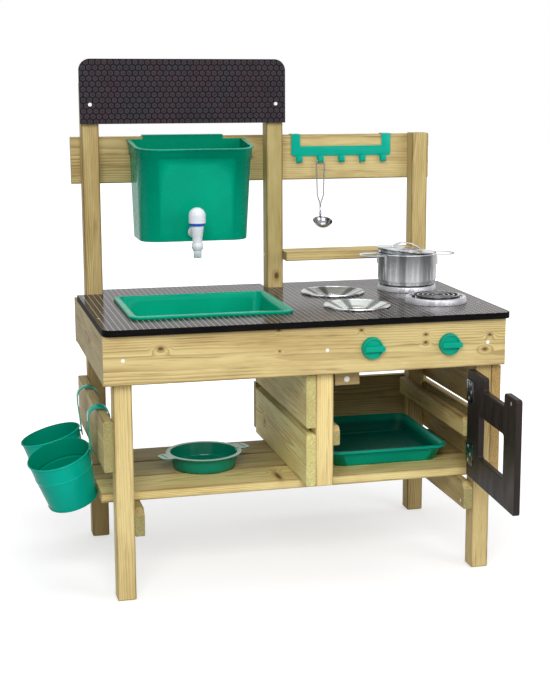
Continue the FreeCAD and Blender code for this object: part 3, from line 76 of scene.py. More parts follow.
class Graph:
    """A tree of shader nodes, put together with a few short words."""

    def __init__(self, tree):
        self.tree = tree
        self.tree.nodes.clear()
        self.where = self.add("ShaderNodeTexCoord")

    def add(self, kind):
        """A new shader node."""
        return self.tree.nodes.new(kind)

    def wire(self, source, target):
        """A wire from an output to a socket."""
        self.tree.links.new(source, target)

    def put(self, socket, value):
        """An output is wired to the socket, and anything else is set on it as a constant."""
        if hasattr(value, "is_output"):
            self.wire(value, socket)
        else:
            socket.default_value = value

    def seen_from(self, middle=(0, 0, 0), turn=(0, 0, 0), size=(1, 1, 1)):
        """The object's coordinates from a new middle, along turned axes, in units of a size."""
        n = self.add("ShaderNodeMapping")
        n.vector_type = "TEXTURE"
        n.inputs["Location"].default_value = middle
        n.inputs["Rotation"].default_value = turn
        n.inputs["Scale"].default_value = size
        self.wire(self.where.outputs["Object"], n.inputs["Vector"])
        return n.outputs["Vector"]

    def calc(self, operation, a, b=0.0, c=0.0):
        """One step of arithmetic on numbers."""
        n = self.add("ShaderNodeMath")
        n.operation = operation
        for socket, value in zip(n.inputs, (a, b, c)):
            self.put(socket, value)
        return n.outputs[0]

    def vector(self, operation, a, b=(0, 0, 0), out="Vector"):
        """One step of arithmetic on vectors."""
        n = self.add("ShaderNodeVectorMath")
        n.operation = operation
        self.put(n.inputs[0], a)
        self.put(n.inputs["Scale"] if operation == "SCALE" else n.inputs[1], b)
        return n.outputs[out]

    def split(self, vector):
        """The three numbers of a vector."""
        n = self.add("ShaderNodeSeparateXYZ")
        self.wire(vector, n.inputs[0])
        return n.outputs

    def join(self, x, y, z):
        """A vector from three numbers."""
        n = self.add("ShaderNodeCombineXYZ")
        for socket, value in zip(n.inputs, (x, y, z)):
            self.put(socket, value)
        return n.outputs[0]

    def cloud(self, where, scale, detail=3.0, rough=0.5, out="Fac"):
        """Soft noise from 0 to 1."""
        n = self.add("ShaderNodeTexNoise")
        self.wire(where, n.inputs["Vector"])
        n.inputs["Scale"].default_value = scale
        n.inputs["Detail"].default_value = detail
        n.inputs["Roughness"].default_value = rough
        return n.outputs[out]

    def remap(self, value, low, high, to_low=0.0, to_high=1.0, soft=False):
        """A value moved from one range to another and held within it."""
        n = self.add("ShaderNodeMapRange")
        n.interpolation_type = "SMOOTHSTEP" if soft else "LINEAR"
        for name, part in (("Value", value), ("From Min", low), ("From Max", high),
                           ("To Min", to_low), ("To Max", to_high)):
            self.put(n.inputs[name], part)
        return n.outputs["Result"]

    def peak(self, value, middle, width):
        """One where the value is at the middle, falling softly to nothing a width away."""
        away = self.calc("ABSOLUTE", self.calc("SUBTRACT", value, middle))
        return self.remap(away, 0.0, width, 1.0, 0.0, soft=True)

    def tones(self, value, *stops):
        """A run of colours. Each stop is its place in the run and its colour."""
        n = self.add("ShaderNodeValToRGB")
        run = n.color_ramp
        while len(run.elements) < len(stops):
            run.elements.new(0.5)
        for element, (place, colour) in zip(run.elements, stops):
            element.position = place
            element.color = colour
        self.put(n.inputs["Fac"], value)
        return n.outputs["Color"]

    def over(self, share, below, above):
        """One colour laid over another by a share."""
        n = self.add("ShaderNodeMix")
        n.data_type = "RGBA"
        self.put(n.inputs["Factor"], share)
        self.put(n.inputs[MIX_BELOW], below)
        self.put(n.inputs[MIX_ABOVE], above)
        return n.outputs[MIX_OUT]


class Finish(Graph):
    """A material with one principled shader."""

    def __init__(self, name):
        self.material = bpy.data.materials.new(name)
        self.material.use_nodes = True
        super().__init__(self.material.node_tree)
        self.shader = self.add("ShaderNodeBsdfPrincipled")
        self.wire(self.shader.outputs["BSDF"], self.add("ShaderNodeOutputMaterial").inputs["Surface"])

    def fixed(self, **values):
        """Constants on the shader's own sockets."""
        for name, value in values.items():
            self.shader.inputs[name.replace("_", " ")].default_value = value

    def feed(self, name, value):
        """A pattern wired to one of the shader's sockets."""
        self.wire(value, self.shader.inputs[name])

    def facing(self):
        """The three numbers of the way that the surface faces."""
        return self.split(self.where.outputs["Normal"])

    def dents(self, height, strength, depth):
        """Small relief, with its depth in metres."""
        n = self.add("ShaderNodeBump")
        n.inputs["Strength"].default_value = strength
        n.inputs["Distance"].default_value = depth
        self.wire(height, n.inputs["Height"])
        self.feed("Normal", n.outputs["Normal"])


# Timber: pressure-treated pine, drawn from a pith that lies beside the piece.

# How the pattern's own z axis is laid along the grain, and which axes run along, through and across.
GRAIN_TURN = {"x": (0, math.radians(90), 0), "y": (math.radians(-90), 0, 0), "z": (0, 0, 0)}
GRAIN_SIDE = {"x": (0, 1, 2), "y": (1, 0, 2), "z": (2, 1, 0)}

PINE_LIGHT, PINE_MIDDLE, PINE_LATE = (226, 205, 145), (210, 186, 124), (160, 130, 74)
PINE_FIBRE, PINE_STREAK, PINE_STAIN = (184, 160, 104), (122, 93, 50), (158, 127, 70)
# Moss, and painted shade for the long edges and the joints between boards.
PINE_MOSS, PINE_EDGE_SHADE = (158, 156, 98), (104, 78, 40)
PINE_KNOT, PINE_HEART = (150, 117, 64), (72, 50, 28)
PINE_END_LIGHT, PINE_END_DARK = (176, 168, 112), (132, 126, 76)
RED_LIGHT, RED_MIDDLE, RED_LATE = (176, 138, 92), (158, 118, 74), (116, 80, 46)
RED_END_LIGHT, RED_END_DARK = (184, 150, 92), (134, 104, 56)

RING_GAP = 2.8 * MM
RING_DRIFT = 14 * MM
ARRIS = 5 * MM
# A wave texture turns through twenty radians in each unit of length.
WAVE_RADIANS = 20


class Pine(Finish):
    """The layers of one piece of timber."""

    def __init__(self, node, grain, pith, lean, shade):
        super().__init__("pine_" + node)
        self.shade = shade
        self.along, self.through, self.across = GRAIN_SIDE[grain]
        self.middle = centre_of(node)
        self.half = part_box(node)[1] - self.middle
        self.pith = list(self.middle)
        self.pith[self.through] += pith[0] * MM
        self.pith[self.across] += pith[1] * MM
        self.turn = [a + math.radians(b) for a, b in zip(GRAIN_TURN[grain], (*lean, 0))]

    def tone(self, colour, share=1.0):
        """A colour in the shade of this piece."""
        return shaded(colour, self.shade * share)

    def grained(self, stretch, shift=0.0):
        """Coordinates from the pith that draw a pattern out along the grain."""
        return self.seen_from([c + shift for c in self.pith], self.turn, (1, 1, stretch))

    def knots(self, knots):
        """How far the rings bend round the knots, how brown the wood is there, and where their hearts are."""
        bend, brown, heart = 0.0, 0.0, 0.0
        for place, radius in knots:
            size = [radius, radius, radius]
            size[self.along] = radius * 1.5
            size[self.through] = radius * 8
            away = self.vector("LENGTH", self.seen_from(place, size=size), out="Value")
            bend = self.calc("ADD", self.remap(away, 0.0, 4.5, radius * 1.2, 0.0, soft=True), bend)
            heart = self.calc("MAXIMUM", self.remap(away, 0.55, 1.1, 1.0, 0.0, soft=True), heart)
            brown = self.calc("MAXIMUM", self.remap(away, 0.9, 2.4, 0.6, 0.0, soft=True), brown)
        return bend, brown, heart

    def rings(self, bend):
        """The year rings as a sawtooth, which wanders a little and bends round the knots."""
        wood = self.grained(9)
        wander = self.cloud(wood, 14.0, 2.0, 0.5, "Color")
        drift = self.vector("SCALE", self.vector("SUBTRACT", wander, (0.5, 0.5, 0.5)), RING_DRIFT)
        path = self.vector("ADD", self.vector("ADD", wood, drift), self.join(bend, bend, 0.0))
        wave = self.add("ShaderNodeTexWave")
        wave.wave_type = "RINGS"
        wave.rings_direction = "Z"
        wave.wave_profile = "SAW"
        wave.inputs["Scale"].default_value = math.tau / (WAVE_RADIANS * RING_GAP)
        wave.inputs["Distortion"].default_value = 0.8
        wave.inputs["Detail"].default_value = 2.0
        wave.inputs["Detail Scale"].default_value = 0.2
        self.wire(path, wave.inputs["Vector"])
        return wave.outputs["Fac"]

    def sapwood(self, ring, moss):
        """Light and late wood, with lengths where the rings hardly show."""
        light = self.tone(PINE_LIGHT)
        middle = self.tone(PINE_MIDDLE, 1 - moss * 0.2)
        late = self.tone(PINE_LATE, 1 - moss * 1.2)
        lines = self.tones(ring, (0.0, light), (0.5, middle), (0.86, late), (0.94, late), (1.0, light))
        faint = self.cloud(self.grained(6), 9.0, 2.0)
        return self.over(self.remap(faint, 0.32, 0.7, 0.05, 0.9), lines, light)

    def weathered(self, colour, stain, fibre, moss):
        """Brown stains, mossy patches, fibre and dark streaks."""
        stained = self.remap(stain, 0.44, 0.72, 0.0, min(0.45 + 2.2 * moss, 1))
        colour = self.over(stained, colour, self.tone(PINE_STAIN))
        patch = self.cloud(self.grained(4, 0.37), 7.0, 2.0)
        colour = self.over(self.remap(patch, 0.42, 0.74, 0.0, moss * 1.5), colour, self.tone(PINE_MOSS))
        colour = self.over(self.remap(fibre, 0.35, 0.8, 0.0, 0.45), colour, self.tone(PINE_FIBRE))
        streak = self.cloud(self.grained(30), 260.0, 3.0, 0.55)
        streaked = self.remap(streak, 0.58, 0.74, 0.0, 0.45 + moss * 1.6)
        return self.over(streaked, colour, self.tone(PINE_STREAK))

    def edge_shaded(self, colour, stain):
        """Painted shade along the long edges and in the joints between boards, most where the wood is
        stained.
        """
        place = self.split(self.seen_from(self.middle))
        depths = [self.calc("SUBTRACT", self.half[side], self.calc("ABSOLUTE", place[side]))
                  for side in (self.through, self.across)]
        edge = self.remap(self.calc("MAXIMUM", *depths), 0.0, ARRIS, 1.0, 0.0, soft=True)
        share = self.calc("MULTIPLY", edge, self.remap(stain, 0.3, 0.65, 0.3, 0.95))
        return self.over(share, colour, self.tone(PINE_EDGE_SHADE))

    def red_wood_and_low_shade(self, colour, ring, red):
        """Red wood, partly its own colour and partly painted shade, laid on most strongly below the worktop.
        """
        lines = self.tones(ring, (0.0, eye(*RED_LIGHT)), (0.5, eye(*RED_MIDDLE)), (0.9, eye(*RED_LATE)))
        # Painted shade: the red is strongest below the worktop and fades above it.
        height = self.split(self.seen_from())[2]
        return self.over(self.remap(height, 0.44, 0.62, red, red * 0.3), colour, lines)

    def knotted(self, colour, brown, heart):
        """Brown wood about the knots, and their dark hearts."""
        colour = self.over(brown, colour, self.tone(PINE_KNOT))
        return self.over(self.calc("MULTIPLY", heart, 0.85), colour, self.tone(PINE_HEART))

    def sawn(self, colour, red):
        """Pores in place of grain on the sawn ends."""
        end = self.remap(self.calc("ABSOLUTE", self.facing()[self.along]), 0.72, 0.93, 0.0, 0.8)
        pores = self.cloud(self.seen_from(self.pith), 420.0, 2.0)
        light, dark = (RED_END_LIGHT, RED_END_DARK) if red else (PINE_END_LIGHT, PINE_END_DARK)
        sawn = self.over(self.remap(pores, 0.3, 0.7), self.tone(light), self.tone(dark))
        return self.over(end, colour, sawn)


def pine(node, grain, pith, lean, shade, moss, red, knots):
    """One piece of timber with all its layers, from the rings up to the sawn ends."""
    f = Pine(node, grain, pith, lean, shade)
    bend, brown, heart = f.knots(knots)
    ring = f.rings(bend)
    stain = f.cloud(f.grained(5, -0.21), 16.0, 4.0, 0.65)
    fibre = f.cloud(f.grained(50), 900.0, 2.0, 0.6)
    colour = f.weathered(f.sapwood(ring, moss), stain, fibre, moss)
    # Painted shade along the long edges of each piece.
    colour = f.edge_shaded(colour, stain)
    if red:
        colour = f.red_wood_and_low_shade(colour, ring, red)
    if knots:
        colour = f.knotted(colour, brown, heart)
    f.feed("Base Color", f.sawn(colour, red))
    f.feed("Roughness", f.remap(fibre, 0.2, 0.8, 0.5, 0.72))
    f.fixed(Specular_IOR_Level=0.3)
    f.dents(f.calc("ADD", f.calc("MULTIPLY", ring, -0.3), f.calc("MULTIPLY", fibre, 0.9)), 0.35, 0.5 * MM)
    return f.material


# Greens, metals and plastics.


def green(name, tint, rough, grit, gloss, floor=None, rim=None, mouth=None):
    """Green, a little uneven in colour and gloss.

    It has painted shade on a vessel's floor and on what faces its mouth, and a painted sheen on the top of a
    rim.
    """
    f = Finish(name)
    height = f.split(f.seen_from())[2]
    upward = f.facing()[2]
    haze = f.cloud(f.seen_from(), 9.0, 3.0)
    colour = f.over(f.remap(haze, 0.3, 0.7), shaded(tint, 0.95), shaded(tint, 1.04))
    scuff = f.cloud(f.seen_from(size=(1, 1, 5)), 60.0, 4.0, 0.7)
    colour = f.over(f.remap(scuff, 0.7, 0.85, 0.0, 0.2), colour, shaded(tint, 1.15))
    if floor:
        # Painted shade on the floor of a vessel.
        low = f.remap(height, floor + 30 * MM, floor + 20 * MM)
        floor_shade = f.calc("MULTIPLY", f.remap(upward, -0.2, 0.3), low)
        colour = f.over(floor_shade, colour, shaded(tint, 0.62))
    if mouth:
        # Painted shade inside a vessel, on what faces its mouth.
        inward = f.vector("DOT_PRODUCT", f.where.outputs["Normal"], f.seen_from(mouth), out="Value")
        colour = f.over(f.remap(inward, -12 * MM, 0.0, 0.75, 0.0), colour, eye(0, 132, 100))
    if rim:
        # Painted sheen on the upward face of the rim.
        high = f.remap(height, rim - 3 * MM, rim - 2 * MM)
        rim_sheen = f.calc("MULTIPLY", f.calc("MULTIPLY", f.remap(upward, 0.8, 0.95), high), 0.75)
        colour = f.over(rim_sheen, colour, eye(172, 196, 168))
    skin = f.cloud(f.seen_from(), grit, 2.0)
    f.feed("Base Color", colour)
    f.feed("Roughness", f.remap(skin, 0.3, 0.7, rough * 0.85, rough * 1.2))
    f.fixed(Specular_IOR_Level=gloss)
    f.dents(skin, 0.015, 0.3 * MM)
    return f.material


def steel(name, tint, middle, rough, grit, metal, reflection_fans):
    """Steel turned on a lathe, with fine lines round its middle and painted reflections fanned round its axis
    in lighter and darker grey.
    """
    f = Finish(name)
    x, y, z = f.split(f.seen_from(middle))
    reach = f.calc("SQRT", f.calc("ADD", f.calc("MULTIPLY", x, x), f.calc("MULTIPLY", y, y)))
    lines = f.cloud(f.join(reach, z, 0.0), grit, 2.0, 0.7)
    grey = f.over(f.remap(lines, 0.3, 0.7), shaded(tint, 0.9), shaded(tint, 1.0))
    # Painted reflection: darker grey in fans round the axis.
    bearing = f.calc("ARCTAN2", y, x)
    sway = f.calc("SINE", f.calc("MULTIPLY", bearing, 3.0))
    reflection_wave = f.calc("SINE", f.calc("ADD", f.calc("MULTIPLY", bearing, 7.0), sway))
    dark = f.remap(reflection_wave, -0.9, 0.1, reflection_fans, 0.0, soft=True)
    f.feed("Base Color", f.over(dark, grey, shaded(tint, 0.4)))
    f.feed("Roughness", f.remap(lines, 0.25, 0.75, rough * 0.8, rough * 1.35))
    f.fixed(Metallic=metal, Anisotropic=0.85)
    turned = f.add("ShaderNodeTangent")
    turned.direction_type = "RADIAL"
    turned.axis = "Z"
    f.feed("Tangent", turned.outputs["Tangent"])
    return f.material


def plain(name, tint, rough, metal=0.0, grit=300.0, relief=0.08, vary=0.06, gloss=0.5):
    """One colour with a fine skin, for small plated and moulded pieces."""
    f = Finish(name)
    skin = f.cloud(f.seen_from(), grit, 3.0)
    f.feed("Base Color", f.over(f.remap(skin, 0.3, 0.7), shaded(tint, 1 - vary), shaded(tint, 1 + vary)))
    f.feed("Roughness", f.remap(skin, 0.3, 0.7, rough * 0.85, min(rough * 1.15, 1)))
    f.fixed(Metallic=metal, Specular_IOR_Level=gloss)
    f.dents(skin, relief, 0.3 * MM)
    return f.material


def coil_enamel():
    """Black enamel on the wire of the spirals, with a painted highlight along the top of each turn."""
    f = Finish("coil_enamel")
    skin = f.cloud(f.seen_from(), 500.0, 3.0)
    # Painted highlight where the wire faces up.
    crown_highlight = f.remap(f.facing()[2], 0.94, 0.985, 0.0, 0.9, soft=True)
    enamel = f.over(f.remap(skin, 0.3, 0.7), eye(8, 8, 9), eye(14, 14, 15))
    f.feed("Base Color", f.over(crown_highlight, enamel, eye(224, 226, 230)))
    f.feed("Roughness", f.remap(skin, 0.3, 0.7, 0.12, 0.18))
    f.fixed(Specular_IOR_Level=0.5)
    return f.material


# Film-faced plywood: hexagons on the upper board and the worktop, and plain film on the door.

FILM_PITCH = 13.45 * MM
FILM_ROW = FILM_PITCH * math.sqrt(3) / 2


def cells(f, across, up):
    """From nothing in the middle of a hexagon to one at its edge."""
    def grid(dx, dy):
        """How far a point is from the nearest middle in every second row of hexagons."""
        u = f.calc("FLOORED_MODULO", f.calc("ADD", across, dx), FILM_PITCH)
        v = f.calc("FLOORED_MODULO", f.calc("ADD", up, dy), FILM_ROW * 2)
        u = f.calc("ABSOLUTE", f.calc("SUBTRACT", u, FILM_PITCH / 2))
        v = f.calc("ABSOLUTE", f.calc("SUBTRACT", v, FILM_ROW))
        slope = f.calc("ADD", f.calc("MULTIPLY", u, 0.5), f.calc("MULTIPLY", v, math.sqrt(3) / 2))
        return f.calc("MAXIMUM", u, slope)
    near = f.calc("MINIMUM", grid(0.0, 0.0), grid(FILM_PITCH / 2, FILM_ROW))
    return f.calc("DIVIDE", near, FILM_PITCH / 2)


def cut_edge(f):
    """The dark plies on the cut edge of a board."""
    layers = f.cloud(f.seen_from(size=(1, 1, 0.02)), 22.0, 1.0)
    return f.over(f.remap(layers, 0.4, 0.6), eye(8, 7, 8), eye(20, 18, 18))


def honeycomb_film():
    """Dark raised hexagons with black gaps, on a board that stands upright."""
    f = Finish("honeycomb_film")
    across, _, up = f.split(f.seen_from())
    cell = cells(f, across, up)
    face = f.remap(f.calc("ABSOLUTE", f.facing()[1]), 0.8, 0.95)
    patch = f.cloud(f.seen_from(), 12.0, 2.0)
    blotch = f.cloud(f.seen_from(), 60.0, 2.0)
    colour = f.over(f.remap(patch, 0.4, 0.6), eye(58, 44, 50), eye(50, 48, 54))
    colour = f.over(f.remap(blotch, 0.35, 0.7, 0.0, 0.6), colour, eye(36, 30, 35))
    # Painted highlight: a lighter ring inside each hexagon.
    colour = f.over(f.calc("MULTIPLY", f.peak(cell, 0.62, 0.2), 0.5), colour, eye(72, 66, 72))
    gap = f.remap(cell, 0.74, 0.9, 0.0, 1.0, soft=True)
    colour = f.over(gap, colour, eye(4, 1, 3))
    f.feed("Base Color", f.over(face, cut_edge(f), colour))
    f.feed("Roughness", f.remap(patch, 0.3, 0.7, 0.42, 0.55))
    f.fixed(Specular_IOR_Level=0.1)
    f.dents(f.calc("MULTIPLY", gap, f.calc("MULTIPLY", face, -1.0)), 0.5, 0.6 * MM)
    return f.material


def worktop_film():
    """Painted highlights in stripes towards the left and in a fine mesh towards the right, on dark film under
    a gloss.
    """
    f = Finish("worktop_film")
    x, y, _ = f.split(f.seen_from())
    face = f.remap(f.facing()[2], 0.8, 0.95)
    leftward = f.remap(x, -0.12, 0.16, 1.0, 0.0, soft=True)
    # Painted highlights along the film's ridges.
    stripe_highlight = f.peak(f.calc("FLOORED_MODULO", x, FILM_ROW), FILM_ROW / 2, 1.5 * MM)
    ridge = f.remap(cells(f, y, x), 0.78, 0.93, 0.0, 1.0, soft=True)
    net_highlight = f.calc("MULTIPLY", ridge, f.remap(leftward, 0.0, 1.0, 0.75, 0.2))
    lines = f.calc("MAXIMUM", f.calc("MULTIPLY", stripe_highlight, leftward), net_highlight)
    patch = f.cloud(f.seen_from(), 6.0, 2.0)
    film = f.over(f.remap(patch, 0.35, 0.65), eye(32, 23, 21), eye(42, 32, 29))
    # The painted highlights are laid over the film in pale grey.
    colour = f.over(f.calc("MULTIPLY", lines, 0.8), film, eye(176, 171, 168))
    grain = f.cloud(f.seen_from(), 700.0, 2.0)
    f.feed("Base Color", f.over(face, cut_edge(f), colour))
    f.feed("Roughness", f.over(face, eye(215, 215, 215), f.remap(grain, 0.3, 0.7, 0.13, 0.2)))
    f.fixed(Specular_IOR_Level=0.04)
    f.dents(f.calc("MULTIPLY", f.calc("ADD", lines, f.calc("MULTIPLY", grain, 0.15)), face), 0.1, 0.4 * MM)
    return f.material


def door_film():
    """Dark brown film, a little cloudy."""
    f = Finish("door_film")
    patch = f.cloud(f.seen_from(size=(1, 1, 3)), 40.0, 3.0)
    f.feed("Base Color", f.over(f.remap(patch, 0.3, 0.7), eye(30, 22, 20), eye(40, 31, 28)))
    f.feed("Roughness", f.remap(patch, 0.3, 0.7, 0.4, 0.55))
    f.fixed(Specular_IOR_Level=0.2)
    f.dents(patch, 0.06, 0.4 * MM)
    return f.material


# Ways of making a piece.


def coat(node, material):
    """A CAD node keeps its own mesh and gets a material."""
    data = nodes[node].data
    data.materials.clear()
    data.materials.append(material)


def stand_for(piece, node, material):
    """A piece takes the place of a CAD node, on the same body."""
    piece.data.materials.clear()
    piece.data.materials.append(material)
    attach(piece, body_of[node])
    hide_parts(node)


def smoothed(node, material, edge=0.0):
    """A merged copy of a node's mesh with smooth shading, and its sharp edges broken by a small bevel."""
    piece = bpy.data.objects.new(node + "_piece", nodes[node].data.copy())
    bpy.context.scene.collection.objects.link(piece)
    bpy.ops.object.select_all(action="DESELECT")
    piece.select_set(True)
    bpy.context.view_layer.objects.active = piece
    bpy.ops.object.mode_set(mode="EDIT")
    bpy.ops.mesh.select_all(action="SELECT")
    bpy.ops.mesh.remove_doubles(threshold=0.01 * MM)
    if edge:
        bpy.ops.mesh.dissolve_limited(angle_limit=math.radians(1))
    bpy.ops.object.mode_set(mode="OBJECT")
    if edge:
        bpy.ops.object.modifier_add(type="BEVEL")
        bevel = piece.modifiers[-1]
        bevel.width = edge
        bevel.segments = 3
        bevel.limit_method = "ANGLE"
        bevel.angle_limit = math.radians(40)
        bpy.ops.object.modifier_apply(modifier=bevel.name)
    bpy.ops.object.shade_smooth_by_angle(angle=math.radians(32))
    stand_for(piece, node, material)


def outline(corners):
    """Points of a profile in mm. A corner is (radius, height, rounding), and its rounding is an arc."""
    points = []
    for i, (radius, height, rounding) in enumerate(corners):
        here = Vector((radius, height))
        if not rounding:
            points.append(here)
            continue
        back = (Vector(corners[i - 1][:2]) - here).normalized()
        ahead = (Vector(corners[i + 1][:2]) - here).normalized()
        half = back.angle(ahead) / 2
        middle = here + (back + ahead).normalized() * (rounding / math.sin(half))
        start = here + back * (rounding / math.tan(half)) - middle
        end = here + ahead * (rounding / math.tan(half)) - middle
        points += [middle + start.slerp(end, step / 6) for step in range(7)]
    return points


def spun(name, foot, points, axis=(0, 0, 1), steps=96):
    """A turned piece: its profile is drawn point by point and spun once about the axis."""
    up = Vector(axis)
    out = Vector((0, 1, 0)).cross(up).normalized()
    spots = [Vector(foot) + out * (p.x / 1000) + up * (p.y / 1000) for p in points]
    bpy.ops.object.select_all(action="DESELECT")
    bpy.ops.mesh.primitive_plane_add(size=0.01, location=(0, 0, 0))
    piece = bpy.context.object
    piece.name = name
    bpy.ops.object.mode_set(mode="EDIT")
    bpy.ops.mesh.merge(type="CENTER")
    bpy.ops.transform.translate(value=spots[0])
    for a, b in zip(spots, spots[1:]):
        bpy.ops.mesh.extrude_region_move(TRANSFORM_OT_translate={"value": b - a})
    bpy.ops.mesh.select_all(action="SELECT")
    bpy.ops.mesh.spin(steps=steps, angle=math.tau, center=foot, axis=axis)
    bpy.ops.mesh.select_all(action="SELECT")
    bpy.ops.mesh.remove_doubles(threshold=0.005 * MM)
    bpy.ops.mesh.normals_make_consistent(inside=False)
    bpy.ops.object.mode_set(mode="OBJECT")
    bpy.ops.object.shade_smooth_by_angle(angle=math.radians(35))
    return piece


# The timber, piece by piece: the axis of its grain, where the pith lies through and across the piece
# in mm, the grain's lean in degrees, its shade, how mossy and how red it is, and its knots in metres.

# The red is partly painted shade: below the worktop it is laid on more strongly.
TIMBER = {
    "front_apron": ("x", (58, -14), (0, 1.1), 0.99, 0.12, 0.0, (
        ((-0.241, -0.112, 0.521), 0.0042), ((-0.001, -0.112, 0.504), 0.0018),
        ((-0.003, -0.112, 0.547), 0.003), ((0.17, -0.112, 0.5385), 0.0028),
        ((0.309, -0.112, 0.523), 0.003), ((0.309, -0.112, 0.5065), 0.0032),
        ((0.4505, -0.112, 0.516), 0.0032), ((0.44, -0.112, 0.486), 0.0034))),
    "left_side_apron": ("y", (-50, 12), (1.0, 0), 0.88, 0.34, 0.0, (((-0.355, 0.12, 0.5), 0.006),)),
    "right_side_apron": ("y", (50, -12), (-1.0, 0), 0.94, 0.2, 0.0, ()),
    "rear_apron": ("x", (60, 14), (0, 1.0), 0.94, 0.15, 0.0, ()),
    "upper_rail": ("x", (70, 30), (0, 0.9), 0.97, 0.24, 0.0, (((0.05, 0.37, 0.86), 0.004),)),
    "front_left_leg": ("z", (28, 30), (0.8, 0.5), 1.03, 0.03, 0.0, ()),
    "front_right_leg": ("z", (-34, 26), (1.8, 1.2), 1.02, 0.08, 0.12, ()),
    "front_middle_post": ("z", (25, 34), (0.6, 0.5), 1.1, 0.02, 0.0, ()),
    "rear_left_post": ("z", (-30, -26), (0.8, 0.6), 0.98, 0.2, 0.3, ()),
    "rear_middle_post": ("z", (-24, 26), (0.9, 0.7), 1.0, 0.2, 0.0, (((0.102, 0.335, 0.59), 0.006),)),
    "rear_right_post": ("z", (22, -28), (0.7, 0.9), 0.98, 0.1, 0.0, ()),
    "bucket_rail": ("y", (-46, 20), (0.9, 0), 0.95, 0.2, 0.0, ()),
    "left_shelf_bearer": ("y", (-40, 16), (0.9, 0), 0.9, 0.32, 0.0, ()),
    "right_shelf_bearer": ("y", (-44, -20), (1.4, 0), 0.96, 0.18, 0.0, (((0.425, 0.1, 0.17), 0.005),)),
    "front_shelf_board": ("x", (10, 66), (0, 0.9), 1.16, 0.15, 0.04, (((0.022, 0.001, 0.211), 0.0036),)),
    "middle_shelf_board": ("x", (-14, 70), (0, 0.8), 0.96, 0.3, 0.08, ()),
    "rear_shelf_board": ("x", (14, 60), (0, 0.8), 0.9, 0.28, 0.08, ()),
    "partition_lower_board": ("y", (-52, 10), (1.2, 0), 1.28, 0.17, 0.0, (((0.08, 0.281, 0.26), 0.006),)),
    "partition_upper_board": ("y", (-48, -18), (1.2, 0), 1.18, 0.2, 0.0, (((0.08, 0.139, 0.4), 0.005),)),
    "right_side_lower_board": ("y", (-48, 14), (1.1, 0), 1.05, 0.24, 0.1, ()),
    "right_side_upper_board": ("y", (-44, 18), (1.0, 0), 1.05, 0.24, 0.1, ()),
    "oven_rear_board": ("x", (-50, 10), (0, 1.0), 0.94, 0.24, 0.1, ()),
    "left_tray_runner": ("y", (-30, 20), (0.8, 0), 1.0, 0.05, 0.0, ()),
    "right_tray_runner": ("y", (-30, 20), (0.8, 0), 1.06, 0.24, 0.0, ()),
    "catch_block": ("x", (40, 10), (0, 1.0), 0.84, 0.1, 0.1, ()),
    "mini_shelf": ("x", (-20, 50), (0, 0.8), 1.02, 0.08, 0.0, ()),
}
for node, (grain, pith, lean, shade, moss, red, knots) in TIMBER.items():
    coat(node, pine(node, grain, pith, lean, shade, moss, red, knots))

# Panels, door and small fixings.

coat("honeycomb_board", honeycomb_film())
coat("worktop", worktop_film())
coat("door", door_film())
coat("door_magnet", plain("magnet_face", (232, 232, 230), rough=0.5))

zinc = plain("zinc_plate", (226, 226, 220), rough=0.4, metal=0.5, grit=700.0)
for node in ("door_screws", "frame_screws", "left_knob_bolt", "right_knob_bolt", "hinge_pins"):
    coat(node, zinc)
leaf_steel = plain("leaf_steel", (96, 99, 103), rough=0.3, metal=1.0, grit=120.0, vary=0.3)
for node in ("hinge_leg_leaves", "hinge_door_leaves"):
    smoothed(node, leaf_steel, edge=0.3 * MM)

# Green pieces, moulded and enamelled.

moulded = green("moulded_green", (0, 157, 124), rough=0.22, grit=120.0, gloss=0.06)
smoothed("sink", moulded)

tank_mouth = centre_of("tank")
tank_mouth.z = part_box("tank")[1].z
tank_green = green("tank_green", (0, 158, 125), rough=0.26, grit=120.0, gloss=0.05, mouth=tank_mouth)
smoothed("tank", tank_green)

pan_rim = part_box("pan")[1].z
smoothed("pan", green("pan_green", (0, 130, 104), rough=0.2, grit=260.0, gloss=0.3, rim=pan_rim))
tray_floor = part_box("tray")[0].z
smoothed("tray", green("tray_green", (0, 160, 134), rough=0.3, grit=260.0, gloss=0.1, floor=tray_floor))

knob_green = green("knob_green", (0, 158, 130), rough=0.34, grit=260.0, gloss=0.12)
for node in ("left_knob", "right_knob"):
    smoothed(node, knob_green, edge=0.5 * MM)
enamel = green("enamelled_green", (0, 166, 142), rough=0.2, grit=180.0, gloss=0.12)
for node in ("front_bucket_hook", "rear_bucket_hook", "hook_strip"):
    smoothed(node, enamel, edge=0.4 * MM)

# Buckets. Each hangs on its strap from the rail's top edge, tipped outwards, and the front one also
# leans along the rail, which lifts it a little. Sizes are in mm and angles in degrees.

BUCKET_TILT = 15.4
# How far the near side of the rim hangs off and below the rail's edge, and the mouth's middle from there.
BUCKET_OFF_RAIL, BUCKET_BELOW_RAIL = 14.6, 78.0
BUCKET_REACH = 66.2
# How far along the rail from its front end each one hangs, its lean, and its lift.
BUCKETS = {"front_bucket": (105.0, 9.9, 1.7194), "rear_bucket": (305.0, 0.0, 0.0)}
# The outside from the foot's middle to the rolled rim, then the inside down to the floor.
BUCKET_PROFILE = (
    (0, -109, 0), (51.5, -109, 0.8), (52.0, -106, 0.6), (51.5, -105, 0.4), (59.35, -41.6, 1.2),
    (61.6, -38, 1.6), (60.2, -34.4, 1.2), (64.3, -1.9, 0.3), (65.8, -1.7, 0.8), (65.8, 1.7, 1.6),
    (62.5, 1.7, 1.5), (63.5, -1.9, 0.5), (59.4, -34.4, 1.2), (60.8, -38, 1.6), (58.5, -41.6, 1.2),
    (50.4, -108.2, 1.5), (0, -108.2, 0))


